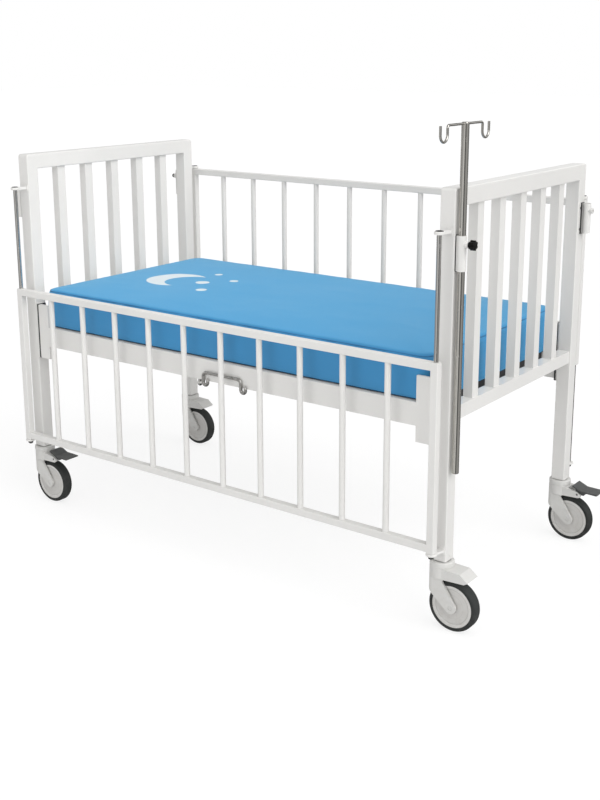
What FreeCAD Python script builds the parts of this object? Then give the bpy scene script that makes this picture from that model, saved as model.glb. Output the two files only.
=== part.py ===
import FreeCAD, Part
import math
import os
import Sketcher

# Paediatric hospital cot: two slatted end panels on braked and free castors, a deck frame hooked
# between them, a mattress, and two drop sides that slide on chrome guide rods.
# Millimetres.  X runs along the cot, Y from front to rear, Z up from the floor.

os.makedirs("parts", exist_ok=True)
doc = FreeCAD.newDocument("PaediatricCot")
sheet = doc.addObject("Spreadsheet::Sheet", "Sizes")
made = []


# ---------------------------------------------------------------- named sizes and their sheet

class Size:
    """A number kept together with the sheet expression that gives it."""

    def __init__(self, value, words):
        self.value = float(value)
        self.words = words

    def __add__(self, other):
        other = as_size(other)
        return Size(self.value + other.value, "(%s + %s)" % (self.words, other.words))

    def __sub__(self, other):
        other = as_size(other)
        return Size(self.value - other.value, "(%s - %s)" % (self.words, other.words))

    def __mul__(self, other):
        other = as_size(other)
        return Size(self.value * other.value, "%s * %s" % (self.words, other.words))

    def __truediv__(self, other):
        other = as_size(other)
        return Size(self.value / other.value, "%s / %s" % (self.words, other.words))

    def __neg__(self):
        return as_size(0) - self

    __radd__ = __add__
    __rmul__ = __mul__

    def __rsub__(self, other):
        return as_size(other) - self


def as_size(number):
    """Give a plain number the same form as a named size."""
    if isinstance(number, Size):
        return number
    return Size(number, "(%r)" % float(number) if number < 0 else "%r" % float(number))


def bind(thing, prop, size):
    """Tie a property to the sheet."""
    thing.setExpression(prop, as_size(size).words)


# ---------------------------------------------------------------- sizes, in millimetres

# End panels
post = 40  # square post tube, side
post_x = 730  # cot centre to post centre along the cot
post_y = 345  # cot centre to post centre across the cot
end_high = 1100  # floor to top of the end panels
top_rail = 44  # height of the top rail of an end panel
corner_round = 8  # outer corner radius between post and top rail
tube_round = 3  # edge radius of the square tubes
low_rail_z = 537  # floor to underside of the end panel's lower rail
low_rail_high = 35  # height of the end panel's lower rail
low_rail_deep = 32  # depth of the end panel's lower rail
slat_wide = 30  # slat width across the cot
slat_deep = 25  # slat depth along the cot
slat_count = 5  # slats in an end panel

# Deck
rail_deep = 30  # depth of a deck side rail
rail_z = 517  # floor to underside of the deck side rails
rail_high = 60  # height of a deck side rail
receiver_long = 12  # length of a receiver between hook plate and post
plate_long = 41  # hook plate length along the cot
plate_thick = 8  # hook plate thickness
plate_z = 476  # floor to lower end of a hook plate
plate_high = 169  # hook plate height
plate_round = 5  # hook plate corner radius
hook_reach = 9  # hook reach into its receiver
hook_high = 24  # hook height
hook_apart = 50  # hook centre from the middle of the plate
hook_back = 2  # hook face set back from the face of its plate
hook_play = 0.4  # clearance round a hook in its receiver
cross_side = 30  # side of a deck cross bar
cross_count = 5  # deck cross bars
cross_in = 17  # end of a side rail to the centre of the outermost cross bar
deck_thick = 2  # deck sheet thickness
deck_play = 0.4  # clearance between deck sheet and side rails

# Mattress
mat_end_gap = 12  # clearance between mattress and receivers
mat_side_gap = 7  # clearance between mattress and hook plates
mat_thick = 113  # mattress thickness
mat_corner = 40  # mattress corner radius in plan
mat_edge = 20  # mattress edge radius
mat_gap = 0.3  # clearance under the mattress

# Drop sides and their guides
rod_reach = 35  # face of a post to guide rod centre
rod_dia = 12  # guide rod diameter
nut_high = 10  # rod nut height
nut_rad = 7.5  # rod nut radius
slide_play = 0.06  # radial running clearance of a side on its rod
stile_high = 481  # height of a drop side
bush_long = 25  # length of the bored end of a stile
stile_inner = 8.5  # inner radius of the stile tube
side_rail = 20  # square tube of a drop side's rails and stiles
side_round = 2  # edge radius of that tube
side_low_z = 3  # stile foot to underside of the lower rail
bar_rad = 8  # bar radius
bar_count = 10  # bars in a drop side
side_rest = 0.5  # clearance between a lowered side and the lower eyes
side_stop = 1  # clearance between a raised side and the upper eyes

# Eye brackets
eye_low_up = 26.5  # leg foot to underside of the lower eyes
eye_top_down = 103  # underside of the upper eyes to the top of the end panels
eye_low_thick = 6  # thickness of a lower eye
eye_low_rad = 14  # outer radius of a lower eye
eye_low_neck = 15  # neck width of a lower eye
eye_top_thick = 8  # thickness of an upper eye
eye_top_rad = 12.5  # outer radius of an upper eye
eye_top_neck = 9  # neck width of an upper eye
eye_hole = 9  # hole radius of the upper eyes
eye_edge = 2  # edge radius of an eye
neck_shift = 9  # shift of the flange from the rod along the post's face
flange_wide = 15  # eye flange width
flange_high = 18  # eye flange height
flange_thick = 2.5  # eye flange thickness
fixed_play = 0.02  # radial clearance of parts that are pressed together

# Infusion pole and its sockets
socket_out = 33  # post centre to socket centre along the cot
socket_aside = 8  # post centre to socket centre across the cot, outwards
socket_rad = 11  # socket tube radius
pole_play = 0.3  # radial clearance of the pole in its socket
socket_down = 191  # underside of a socket to the top of the end panels
socket_high = 83  # socket height
foot_thick = 2  # socket foot plate thickness
foot_wide = 32  # socket foot plate width
boss_rad = 8  # socket boss radius
boss_out = 18  # socket centre to boss end
boss_up = 63  # socket underside to boss centre
screw_rad = 4  # clamp screw radius
screw_play = 0.06  # radial clearance of the clamp screw
pole_rad = 9  # pole radius
pole_below = 495  # pole foot to the underside of its socket
pole_high = 835  # pole height
cross_rad = 3  # radius of the pole's hook rod
hook_in = 80  # pole centre to the inner leg of a hook
hook_span = 31  # leg spacing of a hook
hook_deep = 36  # hook rod centre down to the hook's lowest centre
hook_bend = 6  # bend radius of the hook rod
knob_rad = 8  # pitch radius of the knob's lobes
lobe_rad = 4  # lobe radius of the knob
knob_neck = 4  # boss to the knob's gripping head
knob_high = 14  # length of the knob's gripping head

# Bag hook on the front rail
bag_rad = 3.2  # bag hook rod radius
bag_left = -26  # left leg of the bag hook along the cot
bag_right = 109  # right leg of the bag hook along the cot
bag_z = 543  # floor to the bag hook's bar
bag_low = 504  # floor to the lowest rod centre of the bag hook
bag_turn = 9  # radius of the hook bends
bag_bend = 9  # radius of the corner bends
bag_tip = 522  # floor to the hook tips
bag_pin = 8  # depth of the bag hook's pins in the rail
bag_pin_rad = 2  # radius of those pins

# Castors
wheel_rad = 66  # wheel radius
wheel_wide = 31  # tyre width
tyre_high = 11  # tyre height over the hub
tread_round = 7  # tyre shoulder radius
trail = 38  # swivel axis to axle along the cot
fork_leg = 6.2  # thickness of a fork leg
fork_side = 1.7  # clearance between wheel and fork leg
arch_gap = 4  # clearance between wheel and fork roof
neck_rise = 41.7  # roof of the wheel space to the top of the neck
neck_rad = 29.5  # fork neck radius
lip_rad = 31  # radius of the rim at the top of the neck
lip_high = 13  # height of that rim
boss_round = 15  # fork radius round the axle
axle_rad = 6  # axle radius
spin_play = 0.08  # radial running clearance of hub and swivel
journal_rad = 10  # stem journal radius
journal_long = 37  # stem journal length below the collar
collar_rad = 22  # stem collar radius
collar_high = 2  # stem collar height
collar_gap = 0.3  # clearance between collar and fork
stem_rad = 11  # stem radius in the leg
stem_long = 60  # stem length in the leg
pedal_x = 64  # swivel axis to pedal pivot along the cot
pedal_up = 11  # roof of the wheel space to the pedal pivot
pedal_pin = 3  # pedal pivot radius
pedal_over = 1  # pedal width past the fork on each side
pedal_sheet = 4  # thickness of the pedal's wing
pedal_tip = 63  # pedal pivot to the tip of the pedal
pedal_valley = 13  # pedal pivot to the lowest fold of the wing
pedal_root = 14  # pedal pivot back to the root of the wing
horn_tip = 75  # swivel axis to the tip of the braked castor's horns
hood_over = 3  # width of the plain castor's hood past the fork on each side
hood_peak = 64  # swivel axis to the top edge of the hood
hood_tip = 86  # swivel axis to the tip of the hood
hood_fall = 17  # height from the tip of the hood to its top edge
shift_x = 0  # moves the cot so that its box is centred along X
shift_y = 0  # moves the cot so that its box is centred along Y


# Each number above goes into the sheet under its own name, and the name then stands for that cell.
sheet.set("A1", "Size")
sheet.set("B1", "Value, mm")
plain_sizes = [(alias, value) for alias, value in globals().items() if isinstance(value, (int, float))]
for row, (alias, value) in enumerate(plain_sizes, start=2):
    sheet.set("A%d" % row, alias.replace("_", " "))
    sheet.set("B%d" % row, str(value))
    sheet.setAlias("B%d" % row, alias)
    globals()[alias] = Size(value, "Sizes." + alias)


# ---------------------------------------------------------------- modelling helpers

def new_body(label):
    """Start one named piece."""
    body = doc.addObject("PartDesign::Body", label)
    body.Label = label
    made.append(body)
    return body


def origin_part(body, role):
    """Find one of the body's own origin planes or axes."""
    return [part for part in body.Origin.OriginFeatures if part.Role == role][0]


def sketch(body, name, role, across=0, up=0, lift=0):
    """Make a sketch on an origin plane, moved within the plane and lifted off it."""
    drawing = body.newObject("Sketcher::SketchObject", name)
    drawing.AttachmentSupport = [(origin_part(body, role), "")]
    drawing.MapMode = "FlatFace"
    bind(drawing, "AttachmentOffset.Base.x", across)
    bind(drawing, "AttachmentOffset.Base.y", up)
    bind(drawing, "AttachmentOffset.Base.z", lift)
    return drawing


def pin_point(drawing, edge, place, x, y):
    """Fix a sketch point at x, y from the sketch origin."""
    row = drawing.addConstraint(Sketcher.Constraint("DistanceX", -1, 1, edge, place, x.value))
    drawing.setExpression("Constraints[%d]" % row, x.words)
    row = drawing.addConstraint(Sketcher.Constraint("DistanceY", -1, 1, edge, place, y.value))
    drawing.setExpression("Constraints[%d]" % row, y.words)


def add_edge(drawing, start, end, radius):
    """Draw one edge; a positive radius turns left, a negative one right.  Return its end numbers."""
    first = FreeCAD.Vector(start[0].value, start[1].value, 0)
    last = FreeCAD.Vector(end[0].value, end[1].value, 0)
    if radius is None:
        drawing.addGeometry(Part.LineSegment(first, last), False)
        return 1, 2
    chord = last - first
    half = chord.Length / 2
    rise = math.sqrt(max(radius.value ** 2 - half ** 2, 0))
    side = 1 if radius.value > 0 else -1
    left = FreeCAD.Vector(-chord.y, chord.x, 0).normalize()
    centre = (first + last) * 0.5 + left * (rise * side)
    circle = Part.Circle(centre, FreeCAD.Vector(0, 0, 1), abs(radius.value))
    begin, finish = (first, last) if side > 0 else (last, first)
    angles = [math.atan2(p.y - centre.y, p.x - centre.x) for p in (begin, finish)]
    drawing.addGeometry(Part.ArcOfCircle(circle, angles[0], angles[1]), False)
    edge = drawing.GeometryCount - 1
    row = drawing.addConstraint(Sketcher.Constraint("Radius", edge, abs(radius.value)))
    bind(drawing, "Constraints[%d]" % row, radius if side > 0 else -radius)
    return (1, 2) if side > 0 else (2, 1)


def draw(drawing, corners, closed=True):
    """Join corners (x, y) with lines, or with an arc where a corner carries a radius."""
    points = [[as_size(number) for number in corner] for corner in corners]
    edges = len(points) if closed else len(points) - 1
    first = drawing.GeometryCount
    ends = []
    for i in range(edges):
        start = points[i]
        radius = start[2] if len(start) > 2 else None
        ends.append(add_edge(drawing, start, points[(i + 1) % len(points)], radius))
    for i in range(edges):
        if i > 0 or closed:
            before = (i - 1) % edges
            drawing.addConstraint(Sketcher.Constraint(
                "Coincident", first + before, ends[before][1], first + i, ends[i][0]))
        pin_point(drawing, first + i, ends[i][0], points[i][0], points[i][1])
    if not closed:
        pin_point(drawing, first + edges - 1, ends[-1][1], points[-1][0], points[-1][1])


def ring(drawing, x, y, radius):
    """Draw a full circle."""
    x, y, radius = as_size(x), as_size(y), as_size(radius)
    centre = FreeCAD.Vector(x.value, y.value, 0)
    drawing.addGeometry(Part.Circle(centre, FreeCAD.Vector(0, 0, 1), radius.value), False)
    edge = drawing.GeometryCount - 1
    pin_point(drawing, edge, 3, x, y)
    row = drawing.addConstraint(Sketcher.Constraint("Radius", edge, radius.value))
    bind(drawing, "Constraints[%d]" % row, radius)


def box_corners(x0, y0, x1, y1):
    """Corners of an upright rectangle."""
    return [(x0, y0), (x1, y0), (x1, y1), (x0, y1)]


def rounded_corners(x0, y0, x1, y1, radius):
    """Corners of an upright rectangle with rounded corners."""
    return [(x0 + radius, y0), (x1 - radius, y0, radius), (x1, y0 + radius),
            (x1, y1 - radius, radius), (x1 - radius, y1), (x0 + radius, y1, radius),
            (x0, y1 - radius), (x0, y0 + radius, radius)]


def solid(body, kind, drawing, length, both=True):
    """Pad or pocket a sketch, evenly to both sides or only along its normal."""
    feature = body.newObject("PartDesign::" + kind, drawing.Name + kind)
    feature.Profile = drawing
    feature.SideType = "Symmetric" if both else "One side"
    bind(feature, "Length", length)
    drawing.Visibility = False
    return feature


def pad(body, name, role, corners, length, both=True, **where):
    """Pad an outline."""
    drawing = sketch(body, name, role, **where)
    draw(drawing, corners)
    return solid(body, "Pad", drawing, length, both)


def pad_round(body, name, role, x, y, radius, length, both=True, **where):
    """Pad a circle."""
    drawing = sketch(body, name, role, **where)
    ring(drawing, x, y, radius)
    return solid(body, "Pad", drawing, length, both)


def cut(body, name, role, corners, length, **where):
    """Cut an outline evenly to both sides of its plane."""
    drawing = sketch(body, name, role, **where)
    draw(drawing, corners)
    return solid(body, "Pocket", drawing, length)


def cut_round(body, name, role, x, y, radius, length, **where):
    """Cut a circle evenly to both sides of its plane."""
    drawing = sketch(body, name, role, **where)
    ring(drawing, x, y, radius)
    return solid(body, "Pocket", drawing, length)


def turned(body, name, role, corners, kind="Revolution", **where):
    """Turn an outline about its sketch's upright axis."""
    drawing = sketch(body, name, role, **where)
    draw(drawing, corners)
    feature = body.newObject("PartDesign::" + kind, name + kind)
    feature.Profile = drawing
    feature.ReferenceAxis = (drawing, ["V_Axis"])
    drawing.Visibility = False
    return feature


def rows_of(body, feature, role, count, reach):
    """Repeat a feature evenly along an axis; the copies span the reach."""
    pattern = body.newObject("PartDesign::LinearPattern", feature.Name + "Row")
    pattern.Originals = [feature]
    pattern.Direction = (origin_part(body, role), [""])
    bind(pattern, "Length", reach)
    bind(pattern, "Occurrences", count)
    body.Tip = pattern
    return pattern


def round_edges(body, name, radius, wanted, kind="Fillet", prop="Radius"):
    """Round or bevel the edges of the present shape that the test accepts."""
    doc.recompute()
    last = body.Tip
    edges = ["Edge%d" % (i + 1) for i, edge in enumerate(last.Shape.Edges) if wanted(edge)]
    feature = body.newObject("PartDesign::" + kind, name)
    feature.Base = (last, edges)
    bind(feature, prop, radius)
    body.Tip = feature
    return feature


def near(value, target):
    """True when two lengths agree."""
    return abs(value - target) < 0.01


def all_at(edge, axis, size):
    """True when the whole edge lies at the given distance to either side along an axis."""
    box = edge.BoundBox
    low = (box.XMin, box.YMin, box.ZMin)[axis]
    high = (box.XMax, box.YMax, box.ZMax)[axis]
    return near(abs(low), size.value) and near(low, high)


def place(body, x, y, z, turn=0, roll=0):
    """Stand a piece in the cot: roll about X, then turn about Z, then move."""
    spin = FreeCAD.Rotation(FreeCAD.Vector(0, 0, 1), turn)
    tip = FreeCAD.Rotation(FreeCAD.Vector(1, 0, 0), roll)
    body.Placement = FreeCAD.Placement(FreeCAD.Vector(0, 0, 0), spin.multiply(tip))
    bind(body, "Placement.Base.x", as_size(x) + shift_x)
    bind(body, "Placement.Base.y", as_size(y) + shift_y)
    bind(body, "Placement.Base.z", z)


# Heights and lengths that follow from the sizes above
arch_rad = wheel_rad + arch_gap
fork_gap = wheel_wide + fork_side * 2
fork_wide = fork_gap + fork_leg * 2
roof = wheel_rad + arch_rad + 2
neck_top = roof + neck_rise
leg_foot = neck_top + collar_gap + collar_high
rail_half = post_x - post / 2 - receiver_long - plate_long
rail_out = post_y + post / 2
rod_y = rail_out + rod_reach
eye_low_z = leg_foot + eye_low_up
eye_top_z = end_high - eye_top_down
front_z = eye_low_z + eye_low_thick + side_rest
rear_z = eye_top_z - side_stop - stile_high
socket_z = end_high - socket_down

# Corner names with their signs along X and Y
corners_of_cot = [("front_right", 1, -1), ("front_left", -1, -1),
                  ("rear_right", 1, 1), ("rear_left", -1, 1)]


# ---------------------------------------------------------------- end panels

def end_panel(label, side):
    """Posts, rails and slats of one end, with the castor sockets in the legs."""
    body = new_body(label)
    out = post_y + post / 2
    inn = post_y - post / 2
    under = end_high - top_rail
    pad(body, "Frame", "YZ_Plane", [
        (-out, leg_foot), (-inn, leg_foot), (-inn, under), (inn, under),
        (inn, leg_foot), (out, leg_foot), (out, end_high), (-out, end_high)], post)
    round_edges(body, "TopCorners", corner_round, lambda edge: (
        near(edge.BoundBox.ZMin, end_high.value) and near(edge.BoundBox.YLength, 0)))
    round_edges(body, "TubeEdges", tube_round, lambda edge: (
        all_at(edge, 0, post / 2) and not near(edge.BoundBox.ZMax, leg_foot.value)))
    pad(body, "LowRail", "YZ_Plane",
        box_corners(-inn, low_rail_z, inn, low_rail_z + low_rail_high), low_rail_deep)
    gap = (inn * 2 - slat_count * slat_wide) / (slat_count + 1)
    start = gap - inn
    slat = pad(body, "Slat", "YZ_Plane",
               box_corners(start, low_rail_z + low_rail_high, start + slat_wide, under), slat_deep)
    rows_of(body, slat, "Y_Axis", slat_count, (gap + slat_wide) * (slat_count - 1))
    for name, way in (("Front", -1), ("Rear", 1)):
        cut_round(body, name + "StemHole", "XY_Plane", 0, post_y * way,
                  stem_rad + fixed_play, (stem_long + 1) * 2, lift=leg_foot)
        cut_round(body, name + "ScrewDimple", "YZ_Plane", post_y * way, leg_foot + 9, 3, 3,
                  lift=post / 2)
    place(body, post_x * side, 0, 0, 0 if side > 0 else 180)


end_panel("end_right", 1)
end_panel("end_left", -1)

# ---------------------------------------------------------------- deck


def receiver(label, side, way):
    """Slotted bracket on the inner face of a post; X runs from hook plate to post."""
    body = new_body(label)
    pad(body, "Block", "XZ_Plane", box_corners(0, -plate_high / 2, receiver_long, plate_high / 2),
        rail_deep, lift=rail_deep / 2)
    for name, up in (("Low", -1), ("High", 1)):
        half = hook_high / 2 + hook_play
        cut(body, name + "Slot", "YZ_Plane",
            box_corners(-plate_thick - hook_play, hook_apart * up - half,
                        hook_play - hook_back, hook_apart * up + half),
            (hook_reach + hook_play) * 2)
    turn, roll = {(1, -1): (0, 180), (1, 1): (0, 0), (-1, -1): (180, 0), (-1, 1): (180, 180)}[
        side, way]
    place(body, (rail_half + plate_long) * side, rail_out * way, plate_z + plate_high / 2,
          turn, roll)


for where, side, way in corners_of_cot:
    receiver("receiver_" + where, side, way)


def deck_frame():
    """Two side rails with hook plates at their ends, and cross bars between them."""
    body = new_body("deck_frame")
    for name, way in (("Front", -1), ("Rear", 1)):
        inner = (rail_out - rail_deep) * way
        middle = (rail_out - plate_thick) * way
        outer = rail_out * way
        pad(body, name + "Rail", "YZ_Plane",
            box_corners(inner, rail_z, middle, rail_z + rail_high),
            (rail_half + plate_long - 4) * 2)
        pad(body, name + "RailFace", "YZ_Plane",
            box_corners(middle, rail_z, outer, rail_z + rail_high), rail_half * 2)
        for end, side in (("Left", -1), ("Right", 1)):
            lift = (plate_thick / 2 - rail_out) * way
            tip = (rail_half + plate_long) * side
            pad(body, name + end + "Plate", "XZ_Plane",
                box_corners(rail_half * side, plate_z, tip, plate_z + plate_high),
                plate_thick, lift=lift)
            for hook, up in (("Low", -1), ("High", 1)):
                middle_z = plate_z + plate_high / 2 + hook_apart * up
                pad(body, name + end + hook + "Hook", "XZ_Plane",
                    box_corners(tip, middle_z - hook_high / 2,
                                tip + hook_reach * side, middle_z + hook_high / 2),
                    plate_thick - hook_back, lift=lift + hook_back / 2 * way)
    cross_end = rail_half - cross_in
    bar = pad(body, "CrossBar", "XZ_Plane",
              box_corners(-cross_end - cross_side / 2, rail_z + rail_high - deck_thick - cross_side,
                          cross_side / 2 - cross_end, rail_z + rail_high - deck_thick),
              (rail_out - rail_deep) * 2)
    rows_of(body, bar, "X_Axis", cross_count, cross_end * 2)
    for pin, at in (("Left", bag_left + bag_bend + 12), ("Right", bag_right - bag_bend - 12)):
        cut_round(body, "BagPin" + pin, "XZ_Plane", at, bag_z, bag_pin_rad + fixed_play,
                  (bag_pin + 1) * 2, lift=rail_out)
    corner_x = rail_half + plate_long
    round_edges(body, "PlateCorners", plate_round, lambda edge: (
        near(edge.BoundBox.YLength, plate_thick.value)
        and near(abs(edge.BoundBox.XMin), corner_x.value)
        and near(edge.BoundBox.XLength, 0)
        and (near(edge.BoundBox.ZMin, plate_z.value)
             or near(edge.BoundBox.ZMax, (plate_z + plate_high).value))))
    place(body, 0, 0, 0)


deck_frame()


def deck_panel():
    """Sheet that carries the mattress, let in between the side rails."""
    body = new_body("deck_panel")
    half_y = rail_out - rail_deep - deck_play
    half_x = rail_half - cross_in + cross_side / 2
    pad(body, "Sheet", "XY_Plane", box_corners(-half_x, -half_y, half_x, half_y), deck_thick,
        both=False)
    place(body, 0, 0, rail_z + rail_high - deck_thick)


deck_panel()


def mattress():
    """Foam mattress with rounded corners and edges."""
    body = new_body("mattress")
    half_x = rail_half + plate_long - mat_end_gap
    half_y = rail_out - plate_thick - mat_side_gap
    pad(body, "Block", "XY_Plane", box_corners(-half_x, -half_y, half_x, half_y), mat_thick,
        both=False)
    round_edges(body, "Corners", mat_corner, lambda edge: (
        near(edge.BoundBox.ZLength, mat_thick.value)))
    round_edges(body, "Edges", mat_edge, lambda edge: near(edge.BoundBox.ZLength, 0))
    place(body, 0, 0, rail_z + rail_high + mat_gap)


mattress()


# ---------------------------------------------------------------- drop sides and guides

def drop_side(label, way, z):
    """Barred side with two bored stiles that run on the guide rods."""
    body = new_body(label)
    half = side_rail / 2
    low = side_low_z + side_rail
    high = stile_high - side_rail
    pitch = post_x * 2 / (bar_count + 1)
    pad(body, "LowRail", "YZ_Plane", box_corners(-half, side_low_z, half, low), post_x * 2)
    pad(body, "TopRail", "YZ_Plane", box_corners(-half, high, half, stile_high), post_x * 2)
    round_edges(body, "RailEdges", side_round, lambda edge: edge.BoundBox.XLength > post_x.value)
    bar = pad_round(body, "Bar", "XY_Plane", pitch - post_x, 0, bar_rad, high - low, False,
                    lift=low)
    rows_of(body, bar, "X_Axis", bar_count, pitch * (bar_count - 1))
    tight = rod_dia / 2 + slide_play
    for name, side in (("Left", -1), ("Right", 1)):
        middle = post_x * side
        pad(body, name + "Stile", "XY_Plane",
            rounded_corners(middle - half, -half, middle + half, half, side_round), stile_high,
            both=False)
    for name, side in (("Left", -1), ("Right", 1)):
        turned(body, name + "Bore", "XZ_Plane", [
            (0, -1), (tight, -1), (tight, bush_long), (stile_inner, bush_long),
            (stile_inner, stile_high - bush_long), (tight, stile_high - bush_long),
            (tight, stile_high + 1), (0, stile_high + 1)], "Groove", across=post_x * side)
    place(body, 0, rod_y * way, z)


drop_side("side_front", -1, front_z)
drop_side("side_rear", 1, rear_z)


def guide_rod(label, side, way):
    """Chrome rod with the nut that holds it under the lower eye."""
    body = new_body(label)
    rod = rod_dia / 2
    foot = eye_low_z - nut_high
    high = eye_top_z + eye_top_thick - foot
    turned(body, "Profile", "XZ_Plane", [
        (0, 0), (nut_rad - 4, 0), (nut_rad, 3), (nut_rad, nut_high), (rod, nut_high),
        (rod, high - 1), (rod - 1, high), (0, high)])
    place(body, post_x * side, rod_y * way, foot)


def eye(label, side, way, z, hole, radius, neck, thick):
    """Bracket on a post: a flange, a slanting neck and an eye that holds the guide rod."""
    body = new_body(label)
    reach = rod_reach
    half = neck / 2
    pad_round(body, "Ring", "XY_Plane", 0, 0, radius, thick, False)
    pad(body, "Neck", "XY_Plane", [
        (-half, 0), (half, 0), (neck_shift + half, reach), (neck_shift - half, reach)], thick,
        False)
    round_edges(body, "RingEdges", eye_edge, lambda edge: (
        near(edge.BoundBox.ZLength, 0) and near(edge.BoundBox.YMin, -radius.value)))
    pad(body, "Flange", "XZ_Plane",
        box_corners(neck_shift - flange_wide / 2, thick / 2 - flange_high / 2,
                    neck_shift + flange_wide / 2, thick / 2 + flange_high / 2),
        flange_thick, lift=flange_thick / 2 - reach)
    cut_round(body, "Hole", "XY_Plane", 0, 0, hole, thick * 4)
    place(body, post_x * side, rod_y * way, z, 0 if way < 0 else 180)


def bush(label, side, way):
    """Black plastic bush between the upper eye and the top of the rod."""
    body = new_body(label)
    inner = rod_dia / 2 + fixed_play
    outer = eye_hole - fixed_play
    turned(body, "Profile", "XZ_Plane", [
        (inner, 0), (outer, 0), (outer, eye_top_thick), (eye_hole + 1, eye_top_thick),
        (eye_hole + 0.2, eye_top_thick + 1), (inner, eye_top_thick + 1)])
    place(body, post_x * side, rod_y * way, eye_top_z)


for where, side, way in corners_of_cot:
    guide_rod("guide_rod_" + where, side, way)
    eye("lower_eye_" + where, side, way, eye_low_z, rod_dia / 2 + fixed_play, eye_low_rad,
        eye_low_neck, eye_low_thick)
    eye("upper_eye_" + where, side, way, eye_top_z, eye_hole, eye_top_rad, eye_top_neck,
        eye_top_thick)
    bush("rod_bush_" + where, side, way)


# ---------------------------------------------------------------- infusion pole and sockets

def socket(label, side, way):
    """Tube for the infusion pole on a foot plate, with a threaded boss; X points outwards."""
    body = new_body(label)
    back = socket_out - post / 2
    middle = socket_aside * (-side * way)
    pad_round(body, "Tube", "XY_Plane", 0, 0, socket_rad, socket_high, False)
    pad(body, "Web", "XY_Plane", box_corners(-back, -7, 0, 7), socket_high, False)
    pad(body, "Foot", "YZ_Plane",
        box_corners(middle - foot_wide / 2, -2, middle + foot_wide / 2, socket_high + 2),
        foot_thick, lift=foot_thick / 2 - back)
    pad_round(body, "Boss", "YZ_Plane", 0, boss_up, boss_rad, boss_out, False)
    round_edges(body, "FootCorners", 4, lambda edge: (
        near(edge.BoundBox.XLength, foot_thick.value)
        and near(abs(edge.BoundBox.YMin - middle.value), (foot_wide / 2).value)))
    cut_round(body, "Bore", "XY_Plane", 0, 0, pole_rad + pole_play, socket_high * 4)
    cut_round(body, "Thread", "YZ_Plane", 0, boss_up, screw_rad + screw_play, boss_out + 2,
              lift=(boss_out + 2) / 2)
    place(body, (post_x + socket_out) * side, (post_y + socket_aside) * way, socket_z,
          0 if side > 0 else 180)


for where, side, way in corners_of_cot:
    socket("iv_socket_" + where, side, way)


def stand_on_boss(body, side, way):
    """Put a screwed piece on a socket boss, its own Z pointing outwards."""
    lean = FreeCAD.Rotation(FreeCAD.Vector(0, 1, 0), 90 * side)
    body.Placement = FreeCAD.Placement(FreeCAD.Vector(0, 0, 0), lean)
    bind(body, "Placement.Base.x", (post_x + socket_out + boss_out) * side + shift_x)
    bind(body, "Placement.Base.y", (post_y + socket_aside) * way + shift_y)
    bind(body, "Placement.Base.z", socket_z + boss_up)


screw_in = boss_out - pole_rad - 0.4


def clamp_knob():
    """Star knob whose screw presses on the pole."""
    body = new_body("clamp_knob")
    end = knob_neck + knob_high
    turned(body, "Hub", "XZ_Plane", [
        (0, -screw_in), (screw_rad - 1, -screw_in), (screw_rad, 1 - screw_in), (screw_rad, 0.6),
        (boss_rad - 1.5, 0.6), (boss_rad - 1, knob_neck), (knob_rad + 1, knob_neck + 1),
        (knob_rad + 1, end - 1), (knob_rad - 2, end), (0, end)])
    lobe = pad_round(body, "Lobe", "XY_Plane", knob_rad, 0, lobe_rad, knob_high - 2, False,
                     lift=knob_neck + 1)
    star = body.newObject("PartDesign::PolarPattern", "Lobes")
    star.Originals = [lobe]
    star.Axis = (origin_part(body, "Z_Axis"), [""])
    star.Angle = 360
    star.Occurrences = 6
    body.Tip = star
    stand_on_boss(body, 1, -1)


def cap_screw():
    """Black hexagon socket screw in the boss at the rear left."""
    body = new_body("cap_screw")
    turned(body, "Profile", "XZ_Plane", [
        (0, -screw_in), (screw_rad - 1, -screw_in), (screw_rad, 1 - screw_in), (screw_rad, 0),
        (6.5, 0), (6.5, 7), (5.7, 8), (0, 8)])
    flat = 3
    point = flat * 2 / math.sqrt(3)
    hexagon = [(point * math.cos(math.radians(60 * i)), point * math.sin(math.radians(60 * i)))
               for i in range(6)]
    cut(body, "Key", "XY_Plane", hexagon, 8, lift=8)
    stand_on_boss(body, -1, 1)


clamp_knob()
cap_screw()


def bent_rod(body, name, role, path, radius, normal_role, across, up, lift):
    """Sweep a round rod along a path drawn in a plane, from a circle at the path's start."""
    spine = sketch(body, name + "Path", role)
    draw(spine, path, closed=False)
    profile = sketch(body, name + "Section", normal_role, across=across, up=up, lift=lift)
    ring(profile, 0, 0, radius)
    pipe = body.newObject("PartDesign::AdditivePipe", name + "Rod")
    pipe.Profile = profile
    pipe.Spine = (spine, ["Edge%d" % (i + 1) for i in range(len(path) - 1)])
    spine.Visibility = False
    profile.Visibility = False
    return pipe


def iv_pole():
    """Telescope-like infusion pole with a double hook at the top."""
    body = new_body("iv_pole")
    pad_round(body, "Pole", "XY_Plane", 0, 0, pole_rad, pole_high, False)
    round_edges(body, "PoleEnds", 3, lambda edge: near(edge.BoundBox.ZLength, 0))
    top = pole_high - cross_rad - 1
    half = hook_span / 2
    tip = hook_in + hook_span
    low = top - hook_deep + half
    bend = hook_bend
    path = [(-tip, top), (-tip, low, half), (-tip + half, low - half, half), (-hook_in, low),
            (-hook_in, top - bend, -bend), (bend - hook_in, top), (hook_in - bend, top, -bend),
            (hook_in, top - bend), (hook_in, low, half), (tip - half, low - half, half),
            (tip, low), (tip, top)]
    bent_rod(body, "Hook", "YZ_Plane", path, cross_rad, "XY_Plane", 0, -tip, top)
    place(body, post_x + socket_out, -post_y - socket_aside, socket_z - pole_below)


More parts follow.
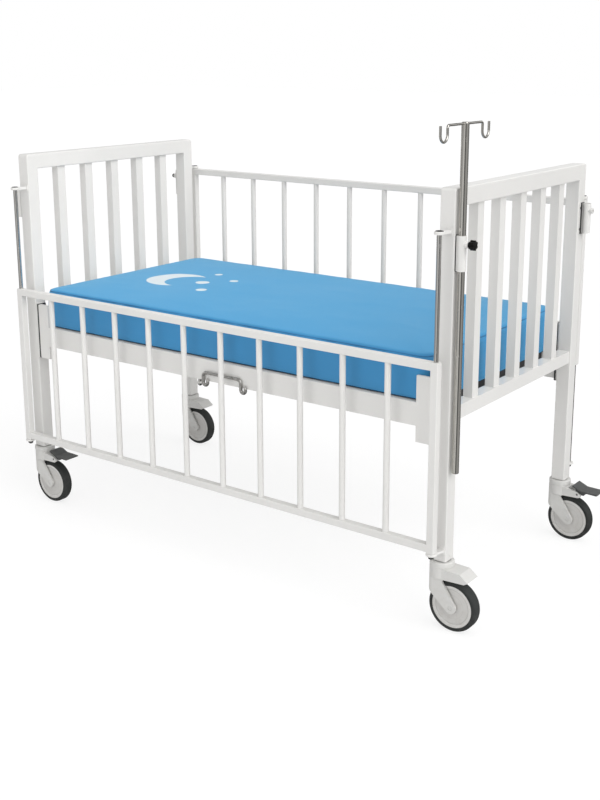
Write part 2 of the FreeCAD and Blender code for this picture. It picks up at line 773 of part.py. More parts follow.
def bag_hook():
    """Bent rod under the mattress line for bags, pinned into the front rail."""
    body = new_body("bag_hook")
    turn = bag_turn
    bend = bag_bend
    low = bag_low + turn
    path = [(bag_left + turn * 2, bag_tip), (bag_left + turn * 2, low, -turn),
            (bag_left + turn, bag_low, -turn), (bag_left, low), (bag_left, bag_z - bend, -bend),
            (bag_left + bend, bag_z), (bag_right - bend, bag_z, -bend),
            (bag_right, bag_z - bend), (bag_right, low, turn), (bag_right + turn, bag_low, turn),
            (bag_right + turn * 2, low), (bag_right + turn * 2, bag_tip)]
    bent_rod(body, "Hook", "XZ_Plane", path, bag_rad, "XY_Plane", bag_left + turn * 2, 0, bag_tip)
    for pin, at in (("Left", bag_left + bend + 12), ("Right", bag_right - bend - 12)):
        pad_round(body, "Pin" + pin, "XZ_Plane", at, bag_z, bag_pin_rad, bag_pin + bag_rad,
                  lift=-(bag_pin + bag_rad) / 2)
    place(body, 0, -rail_out - bag_rad, 0)


iv_pole()
bag_hook()


# ---------------------------------------------------------------- castors

def castor_stem(label, side, way):
    """Steel stem: pressed into the leg above, swivel journal below its collar."""
    body = new_body(label)
    low = -collar_high - journal_long
    turned(body, "Profile", "XZ_Plane", [
        (0, low), (journal_rad - 1, low), (journal_rad, low + 1), (journal_rad, -collar_high),
        (collar_rad, -collar_high), (collar_rad, 0), (stem_rad, 0), (stem_rad, stem_long - 2),
        (stem_rad - 2, stem_long), (0, stem_long)])
    place(body, post_x * side, post_y * way, leg_foot)


def castor_fork(label, side, way, braked):
    """Moulded fork; the braked one ends in two horns, the plain one in a hood."""
    body = new_body(label)
    front = -neck_rad
    low_x = trail - boss_round * 0.5878
    low_z = wheel_rad - boss_round * 0.809
    high_x = trail + boss_round * 0.9563
    high_z = wheel_rad + boss_round * 0.2924
    shoulder = neck_top - lip_high
    pad(body, "Legs", "XZ_Plane", [
        (front, wheel_rad + trail), (low_x, low_z, boss_round), (high_x, high_z),
        (trail / 3, roof - 7), (trail / 2, roof), (trail / 2, shoulder - 2),
        (front, shoulder - 2)], fork_wide)
    round_edges(body, "Brow", 17, lambda edge: (
        near(edge.BoundBox.XMin, front.value) and near(edge.BoundBox.XLength, 0)
        and edge.BoundBox.ZLength > 20))
    turned(body, "Neck", "XZ_Plane", [
        (0, roof - 2), (neck_rad - 2, roof - 2), (neck_rad, roof), (neck_rad, shoulder),
        (lip_rad, shoulder + 1.5), (lip_rad, neck_top - 2), (lip_rad - 2, neck_top),
        (0, neck_top)])
    crown = roof + trail * 0.7
    if braked:
        pad(body, "Horns", "XZ_Plane", [
            (trail / 3, roof - 1), (horn_tip - 7, roof + 1), (horn_tip, roof + 5),
            (horn_tip - 1, roof + 12), (horn_tip - 13, roof + 19), (trail / 3, crown)], fork_wide)
    else:
        pad(body, "Hood", "XZ_Plane", [
            (trail / 3, roof - 1), (hood_tip - 10, roof + 2), (hood_tip, roof + 8),
            (hood_peak, roof + 8 + hood_fall), (trail / 3, crown)], fork_wide + hood_over * 2)
    cut_round(body, "WheelSpace", "XZ_Plane", trail, wheel_rad, arch_rad, fork_gap)
    cut_round(body, "AxleHole", "XZ_Plane", trail, wheel_rad, axle_rad + fixed_play, fork_wide + 2)
    cut_round(body, "Swivel", "XY_Plane", 0, 0, journal_rad + spin_play, (journal_long + 2) * 2,
              lift=neck_top)
    if braked:
        cut(body, "PedalSpace", "XZ_Plane",
            box_corners(neck_rad + 4, roof - 20, horn_tip + 1, crown + 1), fork_gap)
        cut_round(body, "PinHole", "XZ_Plane", pedal_x, roof + pedal_up, pedal_pin + spin_play,
                  fork_wide + 2)
    place(body, post_x * side, post_y * way, 0)


def castor_hub(label, side, way):
    """Grey wheel centre with a dished disc on each face."""
    body = new_body(label)
    wide = wheel_wide / 2
    disc = wide - 2.5
    bore = axle_rad + spin_play
    hub = axle_rad + 5
    disc_rad = wheel_rad - tyre_high
    turned(body, "Profile", "XY_Plane", [
        (bore, -wide - 0.6), (hub, -wide - 0.6), (hub + 2, -disc), (disc_rad - 9, -disc),
        (disc_rad - 7, 1.2 - wide), (disc_rad, 1.2 - wide), (disc_rad, wide - 1.2),
        (disc_rad - 7, wide - 1.2), (disc_rad - 9, disc), (hub + 2, disc), (hub, wide + 0.6),
        (bore, wide + 0.6)])
    place(body, post_x * side + trail, post_y * way, wheel_rad)


def castor_tyre(label, side, way):
    """Rubber tyre with rounded shoulders."""
    body = new_body(label)
    wide = wheel_wide / 2
    disc_rad = wheel_rad - tyre_high
    turned(body, "Profile", "XY_Plane", [
        (disc_rad, 0.6 - wide), (wheel_rad - tread_round, -wide, tread_round),
        (wheel_rad, tread_round - wide), (wheel_rad, wide - tread_round, tread_round),
        (wheel_rad - tread_round, wide), (disc_rad, wide - 0.6)])
    place(body, post_x * side + trail, post_y * way, wheel_rad)


def castor_axle(label, side, way):
    """Plain steel axle across the fork."""
    body = new_body(label)
    half = fork_wide / 2 - 0.5
    turned(body, "Profile", "XY_Plane", [
        (0, -half), (axle_rad - 1, -half), (axle_rad, 1 - half), (axle_rad, half - 1),
        (axle_rad - 1, half), (0, half)])
    place(body, post_x * side + trail, post_y * way, wheel_rad)


def castor_pedal(label, side, way):
    """Winged brake pedal on a pivot between the horns of the fork."""
    body = new_body(label)
    between = fork_gap - 2
    wing = pedal_sheet
    pad(body, "Plate", "XZ_Plane", [
        (-pedal_root, 22 + wing), (pedal_valley, 10 + wing), (pedal_tip - 3, 9 + wing),
        (pedal_tip, 6.5 + wing), (pedal_tip - 3, 8.5), (pedal_valley + 1, 9.5),
        (-pedal_root - 1, 22)], fork_wide + pedal_over * 2)
    pad(body, "Block", "XZ_Plane", [
        (-6, 0), (6, -2), (18, -2), (20, 11), (8, 14), (-8, 20)], between)
    pad_round(body, "Hub", "XZ_Plane", 0, 0, 6.5, between)
    pad_round(body, "Pin", "XZ_Plane", 0, 0, pedal_pin, fork_wide - 1)
    place(body, post_x * side + pedal_x, post_y * way, roof + pedal_up)


for where, side, way in corners_of_cot:
    braked = side * way > 0
    castor_stem("castor_stem_" + where, side, way)
    castor_fork("castor_fork_" + where, side, way, braked)
    castor_hub("castor_hub_" + where, side, way)
    castor_tyre("castor_tyre_" + where, side, way)
    castor_axle("castor_axle_" + where, side, way)
    if braked:
        castor_pedal("brake_pedal_" + where, side, way)


# ---------------------------------------------------------------- centre, check and export

doc.recompute()
reach = [body.Shape.optimalBoundingBox(False, False) for body in made]
middle_x = (min(box.XMin for box in reach) + max(box.XMax for box in reach)) / 2
middle_y = (min(box.YMin for box in reach) + max(box.YMax for box in reach)) / 2
sheet.set("shift_x", "%.4f" % -middle_x)
sheet.set("shift_y", "%.4f" % -middle_y)
doc.recompute()

for thing in doc.Objects:
    if "Invalid" in thing.State or "Error" in thing.State:
        raise RuntimeError("%s does not build: %s" % (thing.Label, thing.State))
for body in made:
    shape = body.Shape
    if shape.isNull() or not shape.isValid() or len(shape.Solids) != 1:
        raise RuntimeError("%s is not one sound solid" % body.Label)
    shape.exportStep(os.path.join("parts", body.Label + ".step"))
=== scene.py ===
import math

import bpy
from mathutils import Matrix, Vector, noise


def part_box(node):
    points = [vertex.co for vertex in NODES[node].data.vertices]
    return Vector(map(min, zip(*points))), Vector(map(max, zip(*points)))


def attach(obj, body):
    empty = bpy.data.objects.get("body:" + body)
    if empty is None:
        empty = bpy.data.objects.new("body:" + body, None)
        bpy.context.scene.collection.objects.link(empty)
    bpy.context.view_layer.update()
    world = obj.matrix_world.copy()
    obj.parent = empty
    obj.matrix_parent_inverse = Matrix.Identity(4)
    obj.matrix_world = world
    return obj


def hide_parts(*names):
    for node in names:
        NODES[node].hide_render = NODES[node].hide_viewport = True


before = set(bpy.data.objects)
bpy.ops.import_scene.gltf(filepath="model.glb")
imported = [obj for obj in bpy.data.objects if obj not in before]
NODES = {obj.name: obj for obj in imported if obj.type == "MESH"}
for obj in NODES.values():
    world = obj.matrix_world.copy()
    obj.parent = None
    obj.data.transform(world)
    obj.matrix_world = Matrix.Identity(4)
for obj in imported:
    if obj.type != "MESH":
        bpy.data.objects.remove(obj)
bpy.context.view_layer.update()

SCENE = bpy.context.scene
COT = "cot"


def add_object(name, data):
    """A new object at the origin that holds the data, linked to the scene."""
    thing = bpy.data.objects.new(name, data)
    SCENE.collection.objects.link(thing)
    return thing


# ------------------------------------------------------------------ places taken from the frame


def corners_of(node):
    """Lowest and highest corner of a node's box."""
    low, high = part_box(node)
    return Vector(low), Vector(high)


def middle(node):
    """Centre of a node's box."""
    low, high = corners_of(node)
    return (low + high) / 2


DECK = middle("deck_frame")
# On the floor under the deck's middle: camera, lamps and paint limits are placed from it
CENTRE = Vector((DECK.x, DECK.y, 0.0))

# ------------------------------------------------------------------ camera

IMAGE_WIDE = 600
IMAGE_HIGH = 800
# Focal length, and the point of the image that lies straight ahead, in pixels
FOCAL_PX = 1160.9
AIM_PX = (317.9, 336.9)
# Place from the cot's middle, and the turns of the line of sight: sideways and down
EYE = Vector((2.044, -2.679, 1.409))
AZIMUTH = math.radians(35.99)
ELEVATION = math.radians(13.98)
SENSOR = 36.0
FARTHEST = 60


def add_camera():
    """Camera that looks at the cot's front from the right, with an upright image."""
    data = bpy.data.cameras.new("camera")
    data.sensor_fit = "VERTICAL"
    data.sensor_height = SENSOR
    data.lens = FOCAL_PX / IMAGE_HIGH * SENSOR
    data.shift_x = -(AIM_PX[0] - IMAGE_WIDE / 2) / IMAGE_HIGH
    data.shift_y = (AIM_PX[1] - IMAGE_HIGH / 2) / IMAGE_HIGH
    data.clip_end = FARTHEST
    camera = add_object("camera", data)
    camera.location = EYE + CENTRE
    camera.rotation_euler = (math.pi / 2 - ELEVATION, 0, AZIMUTH)
    SCENE.camera = camera


# ------------------------------------------------------------------ node tree helper


class Tree:
    """Shorthand for adding and joining the nodes of one tree."""

    def __init__(self, tree):
        self.tree = tree

    def add(self, kind, inputs=None, **settings):
        """A new node with its settings and inputs."""
        node = self.tree.nodes.new(kind)
        for name, value in settings.items():
            setattr(node, name, value)
        for name, value in (inputs or {}).items():
            self.feed(node, name, value)
        return node

    def feed(self, node, name, value):
        """Link a socket to an input, or set its value."""
        socket = node.inputs[name]
        if isinstance(value, bpy.types.NodeSocket):
            self.tree.links.new(value, socket)
        else:
            socket.default_value = value

    def group(self, group, inputs):
        """A shared group in this tree, with its inputs."""
        return self.add("ShaderNodeGroup", inputs, node_tree=group)

    def math(self, operation, a, b=0.0, clamp=False):
        """Result of a sum on one or two values."""
        node = self.add("ShaderNodeMath", {0: a, 1: b}, operation=operation, use_clamp=clamp)
        return node.outputs[0]

    def vector(self, operation, a, b=(0.0, 0.0, 0.0), output=0):
        """Result of a sum on one or two vectors."""
        return self.add("ShaderNodeVectorMath", {0: a, 1: b}, operation=operation).outputs[output]

    def smooth(self, value, low, high, to_low=0.0, to_high=1.0):
        """Soft step from one value to another between two limits."""
        node = self.add("ShaderNodeMapRange", {
            "Value": value, "From Min": low, "From Max": high,
            "To Min": to_low, "To Max": to_high}, interpolation_type="SMOOTHSTEP")
        return node.outputs["Result"]

    def blend(self, factor, a, b):
        """Mix of two colours."""
        node = self.add("ShaderNodeMix", data_type="RGBA")
        self.feed(node, 0, factor)
        self.feed(node, 6, a)
        self.feed(node, 7, b)
        return node.outputs[2]

    def noise(self, vector, scale, detail=3.0, rough=0.5):
        """Cloudy value between 0 and 1."""
        node = self.add("ShaderNodeTexNoise", {
            "Vector": vector, "Scale": scale, "Detail": detail, "Roughness": rough})
        return node.outputs["Fac"]

    def split(self, vector):
        """X, Y and Z of a vector, by name."""
        return self.add("ShaderNodeSeparateXYZ", {0: vector}).outputs


def new_group(name, inputs, outputs):
    """An empty shader group with named sockets; gives the tree, its inputs and its output node."""
    group = bpy.data.node_groups.new(name, "ShaderNodeTree")
    for label, kind, value in inputs:
        socket = group.interface.new_socket(label, in_out="INPUT", socket_type=kind)
        if value is not None:
            socket.default_value = value
    for label, kind in outputs:
        group.interface.new_socket(label, in_out="OUTPUT", socket_type=kind)
    tree = Tree(group)
    source = tree.add("NodeGroupInput")
    drain = tree.add("NodeGroupOutput")
    return tree, source.outputs, drain


# ------------------------------------------------------------------ shared surface effects

# The grain's broad bumps are this much coarser, and its fine ones this much lower
BROAD_GRAIN = 0.12
FINE_SHARE = 0.5


def make_grain_group():
    """Fine bump of a sprayed or moulded skin, with slow tone drift."""
    tree, given, drain = new_group("skin_grain", [
        ("Vector", "NodeSocketVector", None), ("Grain scale", "NodeSocketFloat", 900.0),
        ("Grain depth", "NodeSocketFloat", 0.1), ("Drift scale", "NodeSocketFloat", 3.0)],
        [("Height", "NodeSocketFloat"), ("Drift", "NodeSocketFloat")])
    fine = tree.noise(given["Vector"], given["Grain scale"], detail=2.0)
    broad_scale = tree.math("MULTIPLY", given["Grain scale"], BROAD_GRAIN)
    broad = tree.noise(given["Vector"], broad_scale, detail=2.0)
    height = tree.math("ADD", tree.math("MULTIPLY", fine, FINE_SHARE), broad)
    tree.feed(drain, "Height", tree.math("MULTIPLY", height, given["Grain depth"]))
    tree.feed(drain, "Drift", tree.noise(given["Vector"], given["Drift scale"], rough=0.55))
    return tree.tree


# Values of the noise between which each mark comes in
SCUFF_CUT = (0.62, 0.76)
SCRATCH_CUT = (0.66, 0.72)
SCRATCHED_PATCH = (0.45, 0.6)
DUST_CUT = (0.35, 0.75)
SCRATCH_SCALE = 420.0
SCRATCH_STRETCH = (1.0, 1.0, 0.06)
DUST_SCALE = 60.0


def make_wear_group():
    """Masks for rubbed patches, fine scratches and dust that thickens towards the floor, also used as
    painted shade low down.
    """
    tree, given, drain = new_group("use_marks", [
        ("Vector", "NodeSocketVector", None), ("Scuff scale", "NodeSocketFloat", 30.0),
        ("Dust height", "NodeSocketFloat", 0.35)],
        [("Scuff", "NodeSocketFloat"), ("Scratch", "NodeSocketFloat"), ("Dust and shade", "NodeSocketFloat")])
    patch = tree.noise(given["Vector"], given["Scuff scale"], detail=6.0, rough=0.65)
    tree.feed(drain, "Scuff", tree.smooth(patch, *SCUFF_CUT))
    stretched = tree.vector("MULTIPLY", given["Vector"], SCRATCH_STRETCH)
    lines = tree.noise(stretched, SCRATCH_SCALE, detail=2.0)
    tree.feed(drain, "Scratch", tree.math(
        "MULTIPLY", tree.smooth(lines, *SCRATCH_CUT), tree.smooth(patch, *SCRATCHED_PATCH)))
    low = tree.math("DIVIDE", tree.split(given["Vector"])["Z"], given["Dust height"])
    cover = tree.smooth(low, 0.0, 1.0, 1.0, 0.0)
    speck = tree.noise(given["Vector"], DUST_SCALE, detail=5.0, rough=0.7)
    tree.feed(drain, "Dust and shade", tree.math("MULTIPLY", cover, tree.smooth(speck, *DUST_CUT)))
    return tree.tree


# What polished metal mirrors, as brightness by compass angle: from the front, turning right
STUDIO_RING = ((-180, 0.10), (-120, 0.14), (-70, 0.38), (-20, 0.46), (8, 0.80), (22, 0.72),
               (34, 0.07), (50, 0.10), (76, 0.42), (110, 0.40), (150, 0.14), (180, 0.10))
# The same by height of the direction, from straight down to straight up
STUDIO_RISE = ((-1.0, 0.40), (-0.78, 0.55), (-0.62, 0.10), (-0.45, 0.08), (0.06, 0.80),
               (0.34, 0.85), (0.44, 0.10), (0.60, 0.10), (0.72, 0.50), (0.84, 0.50),
               (1.0, 0.18))
# Heights at which the ring gives way to the rise, downwards and upwards
RING_BOTTOM = (-0.48, -0.40)
RING_TOP = (-0.02, 0.08)


def tone_ramp(tree, share, levels):
    """Brightness along a list of (share, level)."""
    ramp = tree.add("ShaderNodeValToRGB", {0: share})
    stops = ramp.color_ramp.elements
    for place, _ in levels[1:-1]:
        stops.new(place)
    for stop, (place, level) in zip(stops, levels):
        stop.position = place
        stop.color = (level, level, level, 1)
    return tree.add("ShaderNodeRGBToBW", {0: ramp.outputs["Color"]}).outputs[0]


def make_studio_group():
    """Brightness of the room in a direction: panels and dark gaps round about, above and below."""
    tree, given, drain = new_group("studio_ring", [("Direction", "NodeSocketVector", None)],
                                   [("Level", "NodeSocketFloat")])
    way = tree.split(given["Direction"])
    turn = tree.math("ARCTAN2", way["X"], tree.math("MULTIPLY", way["Y"], -1.0))
    around = tree.math("ADD", tree.math("DIVIDE", turn, 2 * math.pi), 0.5)
    ring = tone_ramp(tree, around, [((angle + 180) / 360, level) for angle, level in STUDIO_RING])
    climb = tree.math("ADD", tree.math("MULTIPLY", way["Z"], 0.5), 0.5)
    rise = tone_ramp(tree, climb, [((high + 1) / 2, level) for high, level in STUDIO_RISE])
    below = tree.smooth(way["Z"], *RING_BOTTOM, 1.0, 0.0)
    aside = tree.math("ADD", below, tree.smooth(way["Z"], *RING_TOP))
    tree.feed(drain, "Level", tree.math("ADD", tree.math(
        "MULTIPLY", ring, tree.math("SUBTRACT", 1.0, aside)),
        tree.math("MULTIPLY", aside, rise)))
    return tree.tree


GRAIN = make_grain_group()
WEAR = make_wear_group()
STUDIO = make_studio_group()

# ------------------------------------------------------------------ how a finish is made

# Drift between which the darker tone gives way to the full colour
DRIFT_CUT = (0.35, 0.65)
# What scuffs, dust and drift add to the roughness
SCUFF_DULL = 0.12
DUST_DULL = 0.5
GLOSS_DRIFT = 0.08
COAT_ROUGH = 0.15
GRAIN_HEIGHT = 0.001
GRAIN_STRENGTH = 0.5


def start_material(name):
    """A material with its Principled shader; gives the material, its tree, shader and place."""
    material = bpy.data.materials.new(name)
    material.use_nodes = True
    tree = Tree(material.node_tree)
    shader = material.node_tree.nodes["Principled BSDF"]
    place = tree.add("ShaderNodeTexCoord").outputs["Object"]
    return material, tree, shader, place


def darkened(colour, share):
    """The colour, less a share of its brightness."""
    return tuple(channel * (1 - share) for channel in colour[:3]) + (1,)


def skin(name, colour, *, rough, grain, shade=0.05, metal=0.0, coat=0.0, gloss=0.5, dust_and_shade=0.0,
         dust_colour=(0.42, 0.39, 0.35, 1), dust_height=0.35, scuff=0.0,
         scuff_colour=(0.5, 0.5, 0.5, 1), scratch=0.0, mark=None):
    """One finish: its colour drifts a little, its gloss is broken by marks, its skin has grain.

    grain is the bumps' (scale, depth), and mark a function that paints part of it otherwise.
    """
    material, tree, shader, place = start_material(name)
    scale, depth = grain
    bumps = tree.group(GRAIN, {
        "Vector": place, "Grain scale": scale, "Grain depth": depth}).outputs
    wear = tree.group(WEAR, {"Vector": place, "Dust height": dust_height}).outputs
    base = tree.blend(tree.smooth(bumps["Drift"], *DRIFT_CUT), darkened(colour, shade), colour)
    if mark:
        base = mark(tree, place, base)
    base = tree.blend(tree.math("MULTIPLY", wear["Scuff"], scuff), base, scuff_colour)
    # Dust, and on the white enamel painted shade, thickens towards the floor
    base = tree.blend(tree.math("MULTIPLY", wear["Dust and shade"], dust_and_shade), base, dust_colour)
    tree.feed(shader, "Base Color", base)
    dull = tree.math("ADD", tree.math("MULTIPLY", wear["Scuff"], SCUFF_DULL),
                     tree.math("MULTIPLY", wear["Scratch"], scratch))
    dull = tree.math("ADD", dull, tree.math("MULTIPLY", wear["Dust and shade"], dust_and_shade * DUST_DULL))
    drift = tree.math("MULTIPLY", tree.math("SUBTRACT", bumps["Drift"], 0.5), GLOSS_DRIFT)
    tree.feed(shader, "Roughness", tree.math(
        "ADD", tree.math("ADD", dull, drift), rough, clamp=True))
    shader.inputs["Metallic"].default_value = metal
    shader.inputs["Specular IOR Level"].default_value = gloss
    shader.inputs["Coat Weight"].default_value = coat
    shader.inputs["Coat Roughness"].default_value = COAT_ROUGH
    bump = tree.add("ShaderNodeBump", {
        "Height": bumps["Height"], "Distance": GRAIN_HEIGHT, "Strength": GRAIN_STRENGTH})
    tree.feed(shader, "Normal", bump.outputs["Normal"])
    return material


# ------------------------------------------------------------------ paint limits on the CAD nodes

# Paint goes this far past the face that it ends on, to cover it
HAIR = 0.0001
# Outer face of an end panel, and thickness of the sockets' foot plates on it
END_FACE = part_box("end_right")[1][0] - CENTRE.x
FOOT_THICK = 0.002
# White strip at the inner edge of each socket, and where the black of its foot starts
FOOT_STRIP = 0.0055
FOOT_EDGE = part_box("iv_socket_rear_right")[0][1] - CENTRE.y + FOOT_STRIP
PAD_EDGE = middle("receiver_front_right").x - CENTRE.x
NUT_HIGH = 0.010
NUT_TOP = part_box("guide_rod_front_right")[0][2] + NUT_HIGH
FOOT_BLACK = (0.02, 0.02, 0.02, 1)
# Black of the receivers' inner half: paint, and painted shade of the gap beside the hook plates
PAD_AND_GAP_BLACK = (0.025, 0.025, 0.025, 1)
NUT_GREY = (0.30, 0.30, 0.29, 1)
HUBS = [middle(name) for name in NODES if name.startswith("castor_hub_")]
HUB_LOW, HUB_HIGH = corners_of("castor_hub_front_right")
HUB_RADIUS = (HUB_HIGH.z - HUB_LOW.z) / 2
# Painted shade of grooves turned in the wheel discs: place as a share of the hub's radius, and how
# dark
HUB_GROOVES = ((0.62, 0.10), (0.86, 0.22))
# Half a groove's width, and the share of it that is fully dark
GROOVE_HALF = 0.0011
GROOVE_CORE = 0.4
GROOVE_SHADE_GREY = (0.16, 0.16, 0.155, 1)
# The rim comes in between these shares of the hub's radius
RIM_FROM, RIM_FULL = 0.88, 0.90
RIM_SHARE = 0.5
RIM_GREY = (0.74, 0.73, 0.71, 1)


def black_foot(tree, place, base):
    """The sockets' foot plates, next to the posts, are black under the tubes."""
    away = tree.split(tree.vector("ADD", place, (-CENTRE.x, -CENTRE.y, 0)))
    reach = END_FACE + FOOT_THICK + HAIR
    near = tree.math("LESS_THAN", tree.math("ABSOLUTE", away["X"]), reach)
    under = tree.math("GREATER_THAN", tree.math("ABSOLUTE", away["Y"]), FOOT_EDGE)
    return tree.blend(tree.math("MULTIPLY", near, under), base, FOOT_BLACK)


def black_pad_and_gap_shade(tree, place, base):
    """The receivers are black on the half that meets the hook plates: black paint that also stands as
    painted shade in the gap there.
    """
    away = tree.math("ABSOLUTE", tree.math("SUBTRACT", tree.split(place)["X"], CENTRE.x))
    return tree.blend(tree.math("LESS_THAN", away, PAD_EDGE), base, PAD_AND_GAP_BLACK)


def dark_nut(tree, place, base):
    """The nuts at the foot of the rods are of dark steel."""
    nut = tree.math("LESS_THAN", tree.split(place)["Z"], NUT_TOP + HAIR)
    return tree.blend(nut, base, NUT_GREY)


def hub_groove_shade(tree, place, base):
    """Painted shade of fine turned grooves in the wheel discs, as dark lines, and a paler rim outside
    the last.
    """
    distances = [tree.vector("DISTANCE", place, hub, "Value") for hub in HUBS]
    nearest = distances[0]
    for distance in distances[1:]:
        nearest = tree.math("MINIMUM", nearest, distance)
    rim = tree.smooth(nearest, RIM_FROM * HUB_RADIUS, RIM_FULL * HUB_RADIUS, 0.0, RIM_SHARE)
    base = tree.blend(rim, base, RIM_GREY)
    for share, depth in HUB_GROOVES:
        off = tree.math("ABSOLUTE", tree.math("SUBTRACT", nearest, share * HUB_RADIUS))
        line = tree.smooth(off, GROOVE_HALF * GROOVE_CORE, GROOVE_HALF, depth, 0.0)
        base = tree.blend(line, base, GROOVE_SHADE_GREY)
    return base


# ------------------------------------------------------------------ the finishes

WHITE = (0.80, 0.792, 0.772, 1)
SHEET_WHITE = (0.76, 0.76, 0.75, 1)
BRACKET_BLACK = (0.040, 0.040, 0.041, 1)
POLE_CHROME = (0.66, 0.64, 0.60, 1)
HOOK_CHROME = (0.53, 0.52, 0.50, 1)
ROD_CHROME = (0.66, 0.65, 0.63, 1)
TURNED_STEEL = (0.5, 0.5, 0.49, 1)
KNOB_BLACK = (0.007, 0.007, 0.007, 1)
CASTOR_GREY = (0.69, 0.685, 0.665, 1)
HUB_GREY = (0.63, 0.62, 0.60, 1)
TYRE_BLACK = (0.030, 0.033, 0.032, 1)
TYRE_DUST = (0.14, 0.135, 0.13, 1)
PEDAL_GREY = (0.082, 0.086, 0.085, 1)
# Upper piping: darker than the cover, partly its own blue and partly painted shade along the upper
# edge
WELT_BLUE = (0.028, 0.195, 0.420, 1)
# Painted shadow: the lower piping is near-black navy, for the shade under the mattress's lower edge
WELT_SHADOW_NAVY = (0.010, 0.040, 0.095, 1)


def enamel_finishes():
    """Sprayed white enamel, plain or part black, the deck sheet's and the dark brackets' paint."""
    # Its brownish dust, thickest near the floor, is also painted shade low down
    enamel = dict(rough=0.33, grain=(520.0, 0.35), shade=0.03, coat=0.25, dust_and_shade=0.18,
                  dust_height=0.3, scuff=0.05, scratch=0.15)
    return {
        "enamel": skin("white_enamel", WHITE, **enamel),
        "socket": skin("white_enamel_socket", WHITE, mark=black_foot, **enamel),
        "receiver": skin("receiver_enamel", WHITE, mark=black_pad_and_gap_shade, **enamel),
        "deck_sheet": skin("deck_enamel", SHEET_WHITE, rough=0.45, grain=(520.0, 0.35),
                           shade=0.06),
        "black_bracket": skin("black_bracket", BRACKET_BLACK, rough=0.42, grain=(900.0, 0.5),
                              shade=0.3, scuff=0.3, scuff_colour=(0.09, 0.09, 0.09, 1)),
    }


def metal_finishes():
    """Chrome of the pole, the bag hook and the rods, and the castor stems' turned steel."""
    chrome = dict(grain=(1500.0, 0.05), metal=1.0)
    return {
        "chrome": skin("chrome", POLE_CHROME, rough=0.14, shade=0.06, scuff=0.1,
                       scuff_colour=(0.42, 0.42, 0.41, 1), scratch=0.3, **chrome),
        "hook": skin("hook_chrome", HOOK_CHROME, rough=0.10, shade=0.08, scuff=0.1,
                     scuff_colour=(0.4, 0.4, 0.39, 1), scratch=0.2, **chrome),
        "rod": skin("rod_chrome", ROD_CHROME, rough=0.18, shade=0.08, scuff=0.15,
                    scuff_colour=(0.4, 0.4, 0.39, 1), scratch=0.4, mark=dark_nut, **chrome),
        "steel": skin("turned_steel", TURNED_STEEL, rough=0.35, grain=(1200.0, 0.3),
                      shade=0.12, metal=1.0, scratch=0.4),
    }


def moulded_finishes():
    """Plastic of the knobs, castors and pedals, and the tyres' rubber."""
    return {
        "black_plastic": skin("black_plastic", KNOB_BLACK, rough=0.42, grain=(1300.0, 0.4),
                              shade=0.3, gloss=0.22, scuff=0.25,
                              scuff_colour=(0.03, 0.03, 0.03, 1)),
        "castor_grey": skin("castor_moulding", CASTOR_GREY, rough=0.44, grain=(1100.0, 0.45),
                            shade=0.05, dust_and_shade=0.3, dust_height=0.2, scuff=0.12, scratch=0.2),
        "hub_grey": skin("hub_moulding", HUB_GREY, rough=0.4, grain=(1100.0, 0.4), shade=0.06,
                         dust_and_shade=0.4, dust_height=0.16, scuff=0.15, scratch=0.2,
                         mark=hub_groove_shade),
        "tyre": skin("tyre_rubber", TYRE_BLACK, rough=0.62, grain=(700.0, 0.8), shade=0.25,
                     gloss=0.35, dust_and_shade=0.25, dust_colour=TYRE_DUST, dust_height=0.16,
                     scuff=0.35, scuff_colour=(0.08, 0.08, 0.08, 1)),
        "pedal": skin("pedal_moulding", PEDAL_GREY, rough=0.5, grain=(1000.0, 0.6), shade=0.15,
                      dust_and_shade=0.2, dust_height=0.25, scuff=0.4, scuff_colour=(0.2, 0.2, 0.2, 1)),
    }


def welt_finishes():
    """Piping of the mattress cover: blue at the upper edge, partly painted shade there, and darker at
    the lower, as painted shadow.
    """
    piping = dict(rough=0.6, grain=(400.0, 0.6), shade=0.2)
    return {
        "welt": skin("cover_welt", WELT_BLUE, **piping),
        "welt_painted_shadow": skin("welt_painted_shadow", WELT_SHADOW_NAVY, **piping),
    }


FINISH_OF = (
    ("end_", "enamel"), ("receiver_", "receiver"), ("deck_frame", "enamel"),
    ("deck_panel", "deck_sheet"), ("side_", "enamel"), ("guide_rod_", "rod"),
    ("upper_eye_", "enamel"), ("lower_eye_", "enamel"), ("rod_bush_", "black_plastic"),
    ("iv_socket_", "socket"), ("clamp_knob", "black_plastic"), ("cap_screw", "black_plastic"),
    ("iv_pole", "chrome"), ("bag_hook", "hook"), ("castor_stem_", "steel"),
    ("castor_axle_", "castor_grey"), ("castor_fork_", "castor_grey"), ("castor_hub_", "hub_grey"),
    ("castor_tyre_", "tyre"), ("brake_pedal_", "pedal"),
)


def dress(materials):
    """Give each CAD node its finish."""
    for prefix, finish in FINISH_OF:
        for name, node in NODES.items():
            if name.startswith(prefix):
                for entry in node.material_slots:
                    entry.material = materials[finish]


# ------------------------------------------------------------------ mattress cover's shape

COVER_LOW, COVER_HIGH = corners_of("mattress")
COVER_CENTRE = (COVER_LOW + COVER_HIGH) / 2
# How much fuller the cover is than the plain block, across it and in thickness
FULLNESS = 0.0022
HALF_LONG = (COVER_HIGH.x - COVER_LOW.x) / 2
HALF_WIDE = (COVER_HIGH.y - COVER_LOW.y) / 2 + FULLNESS
THICK = COVER_HIGH.z - COVER_LOW.z + FULLNESS
# Radii: the corners seen from above, the least left of them inside, the upper and lower edge
CORNER_ROUND = 0.040
LEAST_ROUND = 0.004
UPPER_ROUND = 0.017
LOWER_ROUND = 0.009
# Points of an outline: along the cot, across it and round each corner
COVER_STEPS = (84, 42, 9)
WELT_STEPS = (60, 30, 9)
